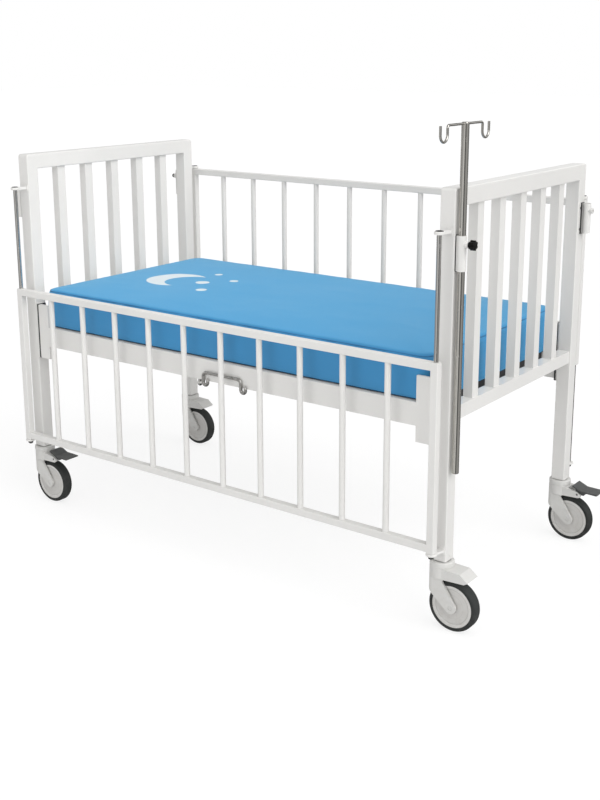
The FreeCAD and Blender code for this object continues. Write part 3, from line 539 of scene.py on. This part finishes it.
# Rows of the cover: degrees round an edge, up the side, over the top, and under the foam
EDGE_TURN = 15
SIDE_STEP = 0.012
INSET_STEP = 0.018
LAST_INSET = 0.33
UNDERSIDE_INSETS = (0.30, 0.2, 0.12, 0.06, 0.035)
# Crown of the top, with slack and creases that fade out towards its edge
CROWN = 0.0055
CROWN_REACH = 0.07
SLACK = 0.0020
SLACK_ALONG, SLACK_ACROSS, SLACK_SEED = 5, 7, 3.1
CREASE = 0.0016
CREASE_ALONG, CREASE_SLANT, CREASE_ACROSS, CREASE_SEED = 9, 6, 26, 7.7
SLACK_INSET = 0.08
# Belly of the sides, with a ripple that is strongest under the upper seam
BELLY = 0.0030
RIPPLE = 0.0016
RIPPLE_ROUND, RIPPLE_UP = 22, 9
RIPPLE_EVERYWHERE = 0.4
PULL_REACH = 0.02
# Points past this share of the half size belong to an end or a side, and swell outwards
OUTLINE = 0.9615
# How far the ends sink past the last cross bar, over what length, and how far in from the sides
DROOP = 0.0095
DROOP_ALONG = 0.040
DROOP_FROM = 0.02
DROOP_ASIDE = 0.060
# Piping: its radius, how far it wanders up and down, and its place round the edge
WELT_RADIUS = 0.0016
WELT_WANDER = 0.0006
WELT_WAVES = 30
WELT_INSET = 0.30


def plan_loop(half_x, half_y, radius, steps):
    """Points of a rounded rectangle, the same number whatever its size."""
    along_x, along_y, around = steps
    points = []
    turns = [(1, -1, -90), (1, 1, 0), (-1, 1, 90), (-1, -1, 180)]
    flats = [along_y, along_x, along_y, along_x]
    for (sx, sy, start), flat in zip(turns, flats):
        centre = Vector((sx * (half_x - radius), sy * (half_y - radius), 0))
        for i in range(around):
            angle = math.radians(start + 90 * i / around)
            points.append(centre + Vector((math.cos(angle), math.sin(angle), 0)) * radius)
        angle = math.radians(start + 90)
        begin = centre + Vector((math.cos(angle), math.sin(angle), 0)) * radius
        if sx == sy:
            end = Vector((-sx * (half_x - radius), begin.y, 0))
        else:
            end = Vector((begin.x, -sy * (half_y - radius), 0))
        for i in range(flat):
            points.append(begin.lerp(end, i / flat))
    return points


def mattress_profile():
    """(inset, height) from the middle of the underside, round the side, to the middle of the top."""
    turns = [math.radians(angle) for angle in range(0, 91, EDGE_TURN)]
    bend = [(1 - math.sin(turn), 1 - math.cos(turn)) for turn in turns]
    rows = [(inset, 0.0) for inset in UNDERSIDE_INSETS]
    rows += [(LOWER_ROUND * inset, LOWER_ROUND * height) for inset, height in bend]
    straight = THICK - UPPER_ROUND - LOWER_ROUND
    steps = max(2, round(straight / SIDE_STEP))
    rows += [(0.0, LOWER_ROUND + straight * i / steps) for i in range(1, steps)]
    rows += [(UPPER_ROUND * inset, THICK - UPPER_ROUND * height)
             for inset, height in reversed(bend)]
    inset = UPPER_ROUND + INSET_STEP
    while inset < LAST_INSET:
        rows.append((inset, THICK))
        inset += INSET_STEP
    return rows


def droop(point, height):
    """How far the cover sinks here: most at the lower edge of the ends, between the rails."""
    along = max(0.0, 1 - (HALF_LONG - abs(point.x)) / DROOP_ALONG)
    aside = min(1.0, max(0.0, (HALF_WIDE - abs(point.y) - DROOP_FROM) / DROOP_ASIDE))
    return DROOP * along * aside * (2 - aside) * (1 - height / THICK)


def swell(point, inset, height):
    """How far the cover stands from the plain block, upwards and outwards."""
    up = side = 0.0
    if height > THICK / 2:
        up = CROWN * (1 - math.exp(-max(inset - UPPER_ROUND, 0) / CROWN_REACH))
        slack = noise.noise(Vector((point.x * SLACK_ALONG, point.y * SLACK_ACROSS, SLACK_SEED)))
        slanted = point.x * CREASE_ALONG + point.y * CREASE_SLANT
        crease = noise.noise(Vector((slanted, point.y * CREASE_ACROSS, CREASE_SEED)))
        up += (SLACK * slack + CREASE * max(crease, 0.0)) * min(inset / SLACK_INSET, 1)
    if inset < UPPER_ROUND:
        ripple = noise.noise(Vector((*(point.xy * RIPPLE_ROUND), height * RIPPLE_UP)))
        pull = math.exp(-((THICK - height) / PULL_REACH) ** 2)
        side = BELLY * math.sin(math.pi * height / THICK)
        side += RIPPLE * ripple * (RIPPLE_EVERYWHERE + pull)
    return up, side


def outwards(place, half):
    """1 or -1 where a point is on one of a pair of sides, and 0 between them."""
    return math.copysign(1, place) if abs(place) > OUTLINE * half else 0


def cover_vertex(point, inset, height):
    """Where a point of the plain block's profile lies on the cover."""
    up, side = swell(point, inset, height)
    return (COVER_CENTRE.x + point.x + outwards(point.x, HALF_LONG) * side,
            COVER_CENTRE.y + point.y + outwards(point.y, HALF_WIDE) * side,
            COVER_LOW.z + height + up - droop(point, height))


def build_mattress_cover(material):
    """Fitted cover of a crowned foam mattress: rows of outlines, closed underneath and on top."""
    vertices, faces = [], []
    rows = mattress_profile()
    for inset, height in rows:
        radius = max(CORNER_ROUND - inset, LEAST_ROUND)
        loop = plan_loop(HALF_LONG - inset, HALF_WIDE - inset, radius, COVER_STEPS)
        vertices += [cover_vertex(point, inset, height) for point in loop]
    along_x, along_y, around = COVER_STEPS
    count = 2 * (along_x + along_y) + 4 * around
    for r in range(len(rows) - 1):
        for i in range(count):
            j = (i + 1) % count
            faces.append((r * count + i, r * count + j, (r + 1) * count + j, (r + 1) * count + i))
    top = (len(rows) - 1) * count
    faces.append(tuple(reversed(range(count))))
    faces.append(tuple(range(top, top + count)))
    mesh = bpy.data.meshes.new("mattress_cover")
    mesh.from_pydata(vertices, [], faces)
    mesh.validate()
    mesh.polygons.foreach_set("use_smooth", [True] * len(mesh.polygons))
    mesh.materials.append(material)
    cover = add_object("mattress_cover", mesh)
    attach(cover, COT)
    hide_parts("mattress")


def add_welt(name, inset, height, material):
    """Sewn piping round an edge of the cover."""
    loop = plan_loop(HALF_LONG - inset, HALF_WIDE - inset, CORNER_ROUND - inset, WELT_STEPS)
    curve = bpy.data.curves.new(name, "CURVE")
    curve.dimensions = "3D"
    curve.bevel_depth = WELT_RADIUS
    curve.bevel_resolution = 2
    spline = curve.splines.new("POLY")
    spline.points.add(len(loop) - 1)
    for knot, point in zip(spline.points, loop):
        wander = WELT_WANDER * noise.noise(Vector((*(point.xy * WELT_WAVES), height)))
        knot.co = (COVER_CENTRE.x + point.x, COVER_CENTRE.y + point.y,
                   COVER_LOW.z + height + wander - droop(point, height), 1)
    spline.use_cyclic_u = True
    curve.materials.append(material)
    welt = add_object(name, curve)
    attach(welt, COT)


def build_mattress(material, upper_seam, lower_seam_shadow):
    """The cover and its two welts, each a little in from its rounded edge."""
    build_mattress_cover(material)
    upper, lower = UPPER_ROUND * WELT_INSET, LOWER_ROUND * WELT_INSET
    add_welt("welt_upper", upper, THICK - upper, upper_seam)
    add_welt("welt_lower", lower, lower, lower_seam_shadow)


# ------------------------------------------------------------------ mattress cover's material

COVER_BLUE = (0.041, 0.278, 0.575, 1)
# Painted sheen: a brighter blue where it is seen at a slant, and the slants between which it comes in
COVER_PAINTED_SHEEN = (0.040, 0.345, 0.690, 1)
PAINTED_SHEEN_CUT = (0.35, 0.80)
# Greyer tone of the light that it throws on the bars
COVER_BOUNCE = (0.36, 0.40, 0.44, 1)
COVER_DRIFT = (0.3, 0.7)
COVER_SHADE = 0.10
COVER_GRAIN = 260.0
COVER_GRAIN_DEPTH = 0.5
# Drift between which the roughness goes from its first value to its second
ROUGH_DRIFT = (0.2, 0.8)
COVER_ROUGH = (0.50, 0.62)
SHEEN = 0.30
SHEEN_ROUGH = 0.4
SHEEN_TINT = (0.60, 0.96, 1.0, 1)
WEAVE_SCALE = 420.0
WEAVE_BEND = 0.3
WEAVE_SHARE = 0.25
WEAVE_HEIGHT = 0.0008
WEAVE_STRENGTH = 0.35
PRINT_WHITE = (0.80, 0.84, 0.88, 1)
PRINT_BLUR = 0.0012
PRINT_DEPTH = 0.02
# The moon, the disc that bites into it, and dots beside it: (x, y, radius) from its centre
MOON_AT = (-0.44, -0.02)
MOON_RADIUS = 0.095
MOON_BITE = (0.055, 0.0)
MOON_BITE_RADIUS = 0.078
DOTS = ((0.10, 0.01, 0.022), (0.165, 0.085, 0.014), (0.17, -0.075, 0.017), (0.055, 0.14, 0.013))


def moon_disc(tree, place, x, y, radius):
    """Mask of a round spot, placed from the moon's centre."""
    flat = tree.vector("MULTIPLY", place, (1, 1, 0))
    spot = (CENTRE.x + MOON_AT[0] + x, CENTRE.y + MOON_AT[1] + y, 0)
    far = tree.vector("DISTANCE", flat, spot, "Value")
    return tree.smooth(far, radius - PRINT_BLUR, radius + PRINT_BLUR, 1.0, 0.0)


def moon_mask(tree, place):
    """White crescent with a few dots beside it, on the upper face only."""
    shape = tree.math("SUBTRACT", moon_disc(tree, place, 0, 0, MOON_RADIUS),
                      moon_disc(tree, place, *MOON_BITE, MOON_BITE_RADIUS), clamp=True)
    for x, y, radius in DOTS:
        shape = tree.math("MAXIMUM", shape, moon_disc(tree, place, x, y, radius))
    top = tree.math("GREATER_THAN", tree.split(place)["Z"], COVER_HIGH.z - PRINT_DEPTH)
    return tree.math("MULTIPLY", shape, top)


def make_cover_material():
    """Wipe-clean blue cover: fine weave under a coating, with a white moon and dots near the head."""
    material, tree, shader, place = start_material("mattress_cover")
    bumps = tree.group(GRAIN, {
        "Vector": place, "Grain scale": COVER_GRAIN, "Grain depth": COVER_GRAIN_DEPTH}).outputs
    threads = {"Vector": place, "Scale": WEAVE_SCALE, "Distortion": WEAVE_BEND}
    weave_x = tree.add("ShaderNodeTexWave", threads)
    weave_y = tree.add("ShaderNodeTexWave", threads, bands_direction="Y")
    weave = tree.math("MULTIPLY", weave_x.outputs["Fac"], weave_y.outputs["Fac"])
    base = tree.blend(tree.smooth(bumps["Drift"], *COVER_DRIFT),
                      darkened(COVER_BLUE, COVER_SHADE), COVER_BLUE)
    # Painted sheen: the blue turns lighter where the cover is seen at a slant
    facing = tree.add("ShaderNodeLayerWeight").outputs["Facing"]
    base = tree.blend(tree.smooth(facing, *PAINTED_SHEEN_CUT), base, COVER_PAINTED_SHEEN)
    base = tree.blend(moon_mask(tree, place), base, PRINT_WHITE)
    bounced = tree.add("ShaderNodeLightPath").outputs["Is Diffuse Ray"]
    tree.feed(shader, "Base Color", tree.blend(bounced, base, COVER_BOUNCE))
    tree.feed(shader, "Roughness", tree.smooth(bumps["Drift"], *ROUGH_DRIFT, *COVER_ROUGH))
    shader.inputs["Sheen Weight"].default_value = SHEEN
    shader.inputs["Sheen Tint"].default_value = SHEEN_TINT
    shader.inputs["Sheen Roughness"].default_value = SHEEN_ROUGH
    height = tree.math("ADD", tree.math("MULTIPLY", weave, WEAVE_SHARE), bumps["Height"])
    bump = tree.add("ShaderNodeBump", {
        "Height": height, "Distance": WEAVE_HEIGHT, "Strength": WEAVE_STRENGTH})
    tree.feed(shader, "Normal", bump.outputs["Normal"])
    return material


# ------------------------------------------------------------------ screws

SCREW_RADIUS = 0.0042
SCREW_HIGH = 0.0022
SCREW_SIDES = 24
# Shares of the head's height or radius: its rim, the dome over it, and the dark key hole
HEAD_RIM = 0.5
HEAD_DOME = 0.75
HEAD_TOP = 0.62
HEAD_LIFT = 0.25
KEY_SIDES = 6
KEY_WIDE = 0.45
KEY_HIGH = 2.05
# How far the screws are from a foot plate's inner side and from its ends
FOOT_MARGIN = 0.006
FOOT_END = 0.014
# A corner's name, and the way to it along the cot and across it
CORNERS = (("front_right", 1, -1), ("front_left", -1, -1), ("rear_right", 1, 1),
           ("rear_left", -1, 1))


def join_meshes(tree, parts):
    """One geometry out of several."""
    joined = tree.add("GeometryNodeJoinGeometry")
    for part in parts:
        tree.tree.links.new(part, joined.inputs[0])
    return joined.outputs[0]


def screw_tree(head_material, key_material):
    """Geometry tree: a button head with a hexagon key on every point, along its 'out' vector."""
    group = bpy.data.node_groups.new("screw_heads", "GeometryNodeTree")
    group.interface.new_socket("Geometry", in_out="INPUT", socket_type="NodeSocketGeometry")
    for label, value in (("Head radius", SCREW_RADIUS), ("Head height", SCREW_HIGH)):
        socket = group.interface.new_socket(label, in_out="INPUT", socket_type="NodeSocketFloat")
        socket.default_value = value
    group.interface.new_socket("Geometry", in_out="OUTPUT", socket_type="NodeSocketGeometry")
    tree = Tree(group)
    given = tree.add("NodeGroupInput").outputs
    drain = tree.add("NodeGroupOutput")
    radius, high = given["Head radius"], given["Head height"]
    rim = tree.add("GeometryNodeMeshCylinder", {
        "Vertices": SCREW_SIDES, "Radius": radius, "Depth": tree.math("MULTIPLY", high, HEAD_RIM)})
    dome = tree.add("GeometryNodeMeshCone", {
        "Vertices": SCREW_SIDES, "Radius Top": tree.math("MULTIPLY", radius, HEAD_TOP),
        "Radius Bottom": radius, "Depth": tree.math("MULTIPLY", high, HEAD_DOME)})
    lift = tree.add("ShaderNodeCombineXYZ", {"Z": tree.math("MULTIPLY", high, HEAD_LIFT)})
    raised = tree.add("GeometryNodeTransform", {
        "Geometry": dome.outputs["Mesh"], "Translation": lift.outputs[0]})
    key = tree.add("GeometryNodeMeshCylinder", {
        "Vertices": KEY_SIDES, "Radius": tree.math("MULTIPLY", radius, KEY_WIDE),
        "Depth": tree.math("MULTIPLY", high, KEY_HIGH)})
    dark = tree.add("GeometryNodeSetMaterial", {
        "Geometry": key.outputs["Mesh"], "Material": key_material})
    head = join_meshes(tree, (rim.outputs["Mesh"], raised.outputs["Geometry"]))
    bright = tree.add("GeometryNodeSetMaterial", {"Geometry": head, "Material": head_material})
    whole = join_meshes(tree, (bright.outputs["Geometry"], dark.outputs["Geometry"]))
    out = tree.add("GeometryNodeInputNamedAttribute", {"Name": "out"}, data_type="FLOAT_VECTOR")
    turn = tree.add("FunctionNodeAlignRotationToVector", {"Vector": out.outputs["Attribute"]},
                    axis="Z")
    spread = tree.add("GeometryNodeInstanceOnPoints", {
        "Points": given["Geometry"], "Instance": whole, "Rotation": turn.outputs["Rotation"]})
    real = tree.add("GeometryNodeRealizeInstances", {"Geometry": spread.outputs["Instances"]})
    tree.feed(drain, "Geometry", real.outputs["Geometry"])
    return group


def foot_screws():
    """(point, outward vector) of the screws in the sockets' foot plates, beside the tubes."""
    spots = []
    for where, side, way in CORNERS:
        low, high = corners_of("iv_socket_" + where)
        face = low.x + FOOT_THICK if side > 0 else high.x - FOOT_THICK
        y = high.y - FOOT_MARGIN if way < 0 else low.y + FOOT_MARGIN
        for z in (low.z + FOOT_END, high.z - FOOT_END):
            spots.append(((face, y, z), (side, 0, 0)))
    return spots


def place_screws(name, spots, group):
    """Run the tree on a list of (point, outward vector) and keep the result as a plain mesh."""
    mesh = bpy.data.meshes.new(name + "_points")
    mesh.from_pydata([point for point, _ in spots], [], [])
    store = mesh.attributes.new("out", "FLOAT_VECTOR", "POINT")
    for entry, (_, outward) in zip(store.data, spots):
        entry.vector = outward
    carrier = add_object(name + "_points", mesh)
    modifier = carrier.modifiers.new("heads", "NODES")
    modifier.node_group = group
    sizes = {"Head radius": SCREW_RADIUS, "Head height": SCREW_HIGH}
    for item in group.interface.items_tree:
        if item.item_type == "SOCKET" and item.in_out == "INPUT" and item.name in sizes:
            modifier[item.identifier] = sizes[item.name]
    bpy.context.view_layer.update()
    depsgraph = bpy.context.evaluated_depsgraph_get()
    plain = bpy.data.meshes.new_from_object(carrier.evaluated_get(depsgraph))
    bpy.data.objects.remove(carrier)
    plain.name = name
    screws = add_object(name, plain)
    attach(screws, COT)


# ------------------------------------------------------------------ dark flats at the deck's ends: painted shadow

FLAT_THICK = 0.002
FLAT_HIGH = 0.041
# Faces of a box whose corners are listed with x changing first, then y, then z
BOX_FACES = ((0, 2, 3, 1), (4, 5, 7, 6), (0, 1, 5, 4), (2, 6, 7, 3), (0, 4, 6, 2), (1, 3, 7, 5))


def build_shadow_flats(material):
    """A dark flat across each end of the deck, on the outer face of the last cross bar: painted
    shadow under the mattress's end.
    """
    low, high = corners_of("deck_panel")
    for name, face, way in (("shadow_flat_right", high.x, 1), ("shadow_flat_left", low.x, -1)):
        near, far = sorted((face, face + way * FLAT_THICK))
        points = [(x, y, z) for z in (low.z - FLAT_HIGH, low.z) for y in (low.y, high.y)
                  for x in (near, far)]
        mesh = bpy.data.meshes.new(name)
        mesh.from_pydata(points, [], BOX_FACES)
        mesh.materials.append(material)
        flat = add_object(name, mesh)
        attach(flat, COT)


# ------------------------------------------------------------------ bag hook

# Radii: the rod, the turns of its hooks, its two upper bends and the pins
HOOK_ROD = 0.0047
HOOK_TURN = 0.0078
HOOK_BEND = 0.012
HOOK_PIN = 0.0020
# How high the hooks stand below their domed tips, and how far in from the uprights the pins are
HOOK_TIP = 0.0165
PIN_INSET = 0.021
# Steps of each bend, and the degrees at which a tip's dome is drawn
ARC_STEPS = 7
TIP_TURNS = (30, 60, 80)


def bent_line(corners, radii):
    """Points of a bent rod: straight runs joined by an arc of the given radius at each corner."""
    points = [corners[0]]
    for before, corner, after, radius in zip(corners, corners[1:], corners[2:], radii):
        back, on = (before - corner).normalized(), (after - corner).normalized()
        half = back.angle(on) / 2
        centre = corner + (back + on).normalized() * radius / math.sin(half)
        start = corner + back * radius / math.tan(half) - centre
        end = corner + on * radius / math.tan(half) - centre
        points += [centre + start.slerp(end, i / ARC_STEPS) * radius for i in range(ARC_STEPS + 1)]
    return points + [corners[-1]]


def hook_rod(y, left, right, top, bottom, tip):
    """(point, share of the rod's radius) along the bent rod, from one domed tip to the other."""
    outer = right + 2 * HOOK_TURN
    inner = left + 2 * HOOK_TURN
    corners = [(inner, tip), (inner, bottom), (left, bottom), (left, top),
               (right, top), (right, bottom), (outer, bottom), (outer, tip)]
    radii = (HOOK_TURN, HOOK_TURN, HOOK_BEND, HOOK_BEND, HOOK_TURN, HOOK_TURN)
    rod = [(point, 1.0) for point in bent_line([Vector((x, y, z)) for x, z in corners], radii)]
    for turn in map(math.radians, TIP_TURNS):
        lift = Vector((0, 0, math.sin(turn) * HOOK_ROD))
        share = math.cos(turn)
        rod = [(rod[0][0] + lift, share)] + rod + [(rod[-1][0] + lift, share)]
    return rod


def build_bag_hook(material):
    """Bent chrome rod pinned to the front rail, its ends turned up into hooks with domed tips."""
    low, high = corners_of("bag_hook")
    y = corners_of("deck_frame")[0].y - HOOK_ROD
    left, right = low.x + HOOK_ROD, high.x - HOOK_ROD - 2 * HOOK_TURN
    top = high.z - HOOK_ROD
    rod = hook_rod(y, left, right, top, low.z + HOOK_ROD, low.z + HOOK_TIP)
    pins = [[(Vector((x, depth, top)), HOOK_PIN / HOOK_ROD) for depth in (y, high.y)]
            for x in (left + PIN_INSET, right - PIN_INSET)]
    curve = bpy.data.curves.new("bag_hook_rod", "CURVE")
    curve.dimensions = "3D"
    curve.bevel_depth = HOOK_ROD
    curve.bevel_resolution = 4
    curve.use_fill_caps = True
    for run in [rod] + pins:
        spline = curve.splines.new("POLY")
        spline.points.add(len(run) - 1)
        for knot, (point, share) in zip(spline.points, run):
            knot.co = (*point, 1)
            knot.radius = share
    curve.materials.append(material)
    hook = add_object("bag_hook_rod", curve)
    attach(hook, COT)
    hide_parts("bag_hook")


# ------------------------------------------------------------------ floor and surround

FLOOR_SIZE = 60.0
FLOOR_DROP = 0.0005
FLOOR_TONE = (0.80, 0.80, 0.80, 1)
# To the camera the floor glows near white, over a grey that takes the shadows
FLOOR_SEEN_TONE = (0.24, 0.24, 0.24, 1)
FLOOR_SEEN_GLOW = 0.79
# How strongly the surround lights the cot
WORLD_LEVEL = 0.65


def add_floor():
    """Pale floor: near white to the camera with a light shadow, and the studio to metal."""
    half = FLOOR_SIZE / 2
    mesh = bpy.data.meshes.new("floor")
    mesh.from_pydata([(-half, -half, 0), (half, -half, 0), (half, half, 0), (-half, half, 0)], [],
                     [(0, 1, 2, 3)])
    floor = add_object("floor", mesh)
    floor.location = (CENTRE.x, CENTRE.y, -FLOOR_DROP)
    material = bpy.data.materials.new("floor")
    material.use_nodes = True
    tree = Tree(material.node_tree)
    material.node_tree.nodes.remove(material.node_tree.nodes["Principled BSDF"])
    path = tree.add("ShaderNodeLightPath").outputs
    matt = tree.add("ShaderNodeBsdfDiffuse", {"Color": FLOOR_TONE})
    glow = tree.add("ShaderNodeEmission", {"Strength": FLOOR_SEEN_GLOW})
    faint = tree.add("ShaderNodeBsdfDiffuse", {"Color": FLOOR_SEEN_TONE})
    both = tree.add("ShaderNodeAddShader", {0: faint.outputs[0], 1: glow.outputs[0]})
    seen = tree.add("ShaderNodeMixShader", {
        0: path["Is Camera Ray"], 1: matt.outputs[0], 2: both.outputs[0]})
    # Metal mirrors each spot as the pole's foot would see it
    foot = middle("iv_pole")
    foot.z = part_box("iv_pole")[0][2]
    spot = tree.add("ShaderNodeNewGeometry").outputs["Position"]
    away = tree.vector("NORMALIZE", tree.vector("SUBTRACT", spot, foot))
    room = tree.group(STUDIO, {"Direction": away})
    mirrored = tree.add("ShaderNodeEmission", {"Strength": room.outputs["Level"]})
    choice = tree.add("ShaderNodeMixShader", {
        0: path["Is Glossy Ray"], 1: seen.outputs[0], 2: mirrored.outputs[0]})
    tree.feed(material.node_tree.nodes["Material Output"], "Surface", choice.outputs[0])
    mesh.materials.append(material)


def add_world():
    """Soft even surround: white to the camera, panels and gaps to what mirrors it."""
    world = bpy.data.worlds.new("studio")
    SCENE.world = world
    world.use_nodes = True
    tree = Tree(world.node_tree)
    back = world.node_tree.nodes["Background"]
    path = tree.add("ShaderNodeLightPath").outputs
    room = tree.group(STUDIO, {"Direction": tree.add("ShaderNodeTexCoord").outputs["Generated"]})
    plain = tree.smooth(path["Is Camera Ray"], 0.0, 1.0, WORLD_LEVEL, 1.0)
    mirror = path["Is Glossy Ray"]
    tree.feed(back, "Color", (1, 1, 1, 1))
    tree.feed(back, "Strength", tree.math("ADD", tree.math(
        "MULTIPLY", plain, tree.math("SUBTRACT", 1.0, mirror)),
        tree.math("MULTIPLY", room.outputs["Level"], mirror)))


# ------------------------------------------------------------------ lamps

SUN_FROM = Vector((0.79, -0.12, 0.60))
SUN_STRENGTH = 1.58
SUN_SPREAD = math.radians(60)
PANEL_SIZE = 1.4
# Place from the cot's middle, turn and power
FRONT_PANEL = (Vector((0.1, -2.5, 1.0)), (math.pi / 2, 0, 0), 7.0)
PANEL_ABOVE = (Vector((0.8, -0.3, 2.7)), (0, 0, 0), 6.5)


def add_sun():
    """Key light, broad and soft, from the right and above."""
    data = bpy.data.lights.new("key", "SUN")
    data.energy = SUN_STRENGTH
    data.angle = SUN_SPREAD
    lamp = add_object("key", data)
    lamp.rotation_euler = SUN_FROM.to_track_quat("Z", "Y").to_euler()


def add_panel(name, place, turn, power):
    """Lit panel near the cot: what stands nearer to it is brighter."""
    data = bpy.data.lights.new(name, "AREA")
    data.energy = power
    data.size = PANEL_SIZE
    lamp = add_object(name, data)
    lamp.location = place + CENTRE
    lamp.rotation_euler = turn
    lamp.visible_glossy = False


# ------------------------------------------------------------------ put together

SCENE.view_settings.view_transform = "Standard"
add_camera()
MATERIALS = {**enamel_finishes(), **metal_finishes(), **moulded_finishes(), **welt_finishes()}
dress(MATERIALS)
build_mattress(make_cover_material(), MATERIALS["welt"], MATERIALS["welt_painted_shadow"])
build_shadow_flats(MATERIALS["black_bracket"])
build_bag_hook(MATERIALS["hook"])
place_screws("foot_screws", foot_screws(),
             screw_tree(MATERIALS["black_bracket"], MATERIALS["black_plastic"]))
add_floor()
add_world()
add_sun()
add_panel("front_panel", *FRONT_PANEL)
add_panel("panel_above", *PANEL_ABOVE)
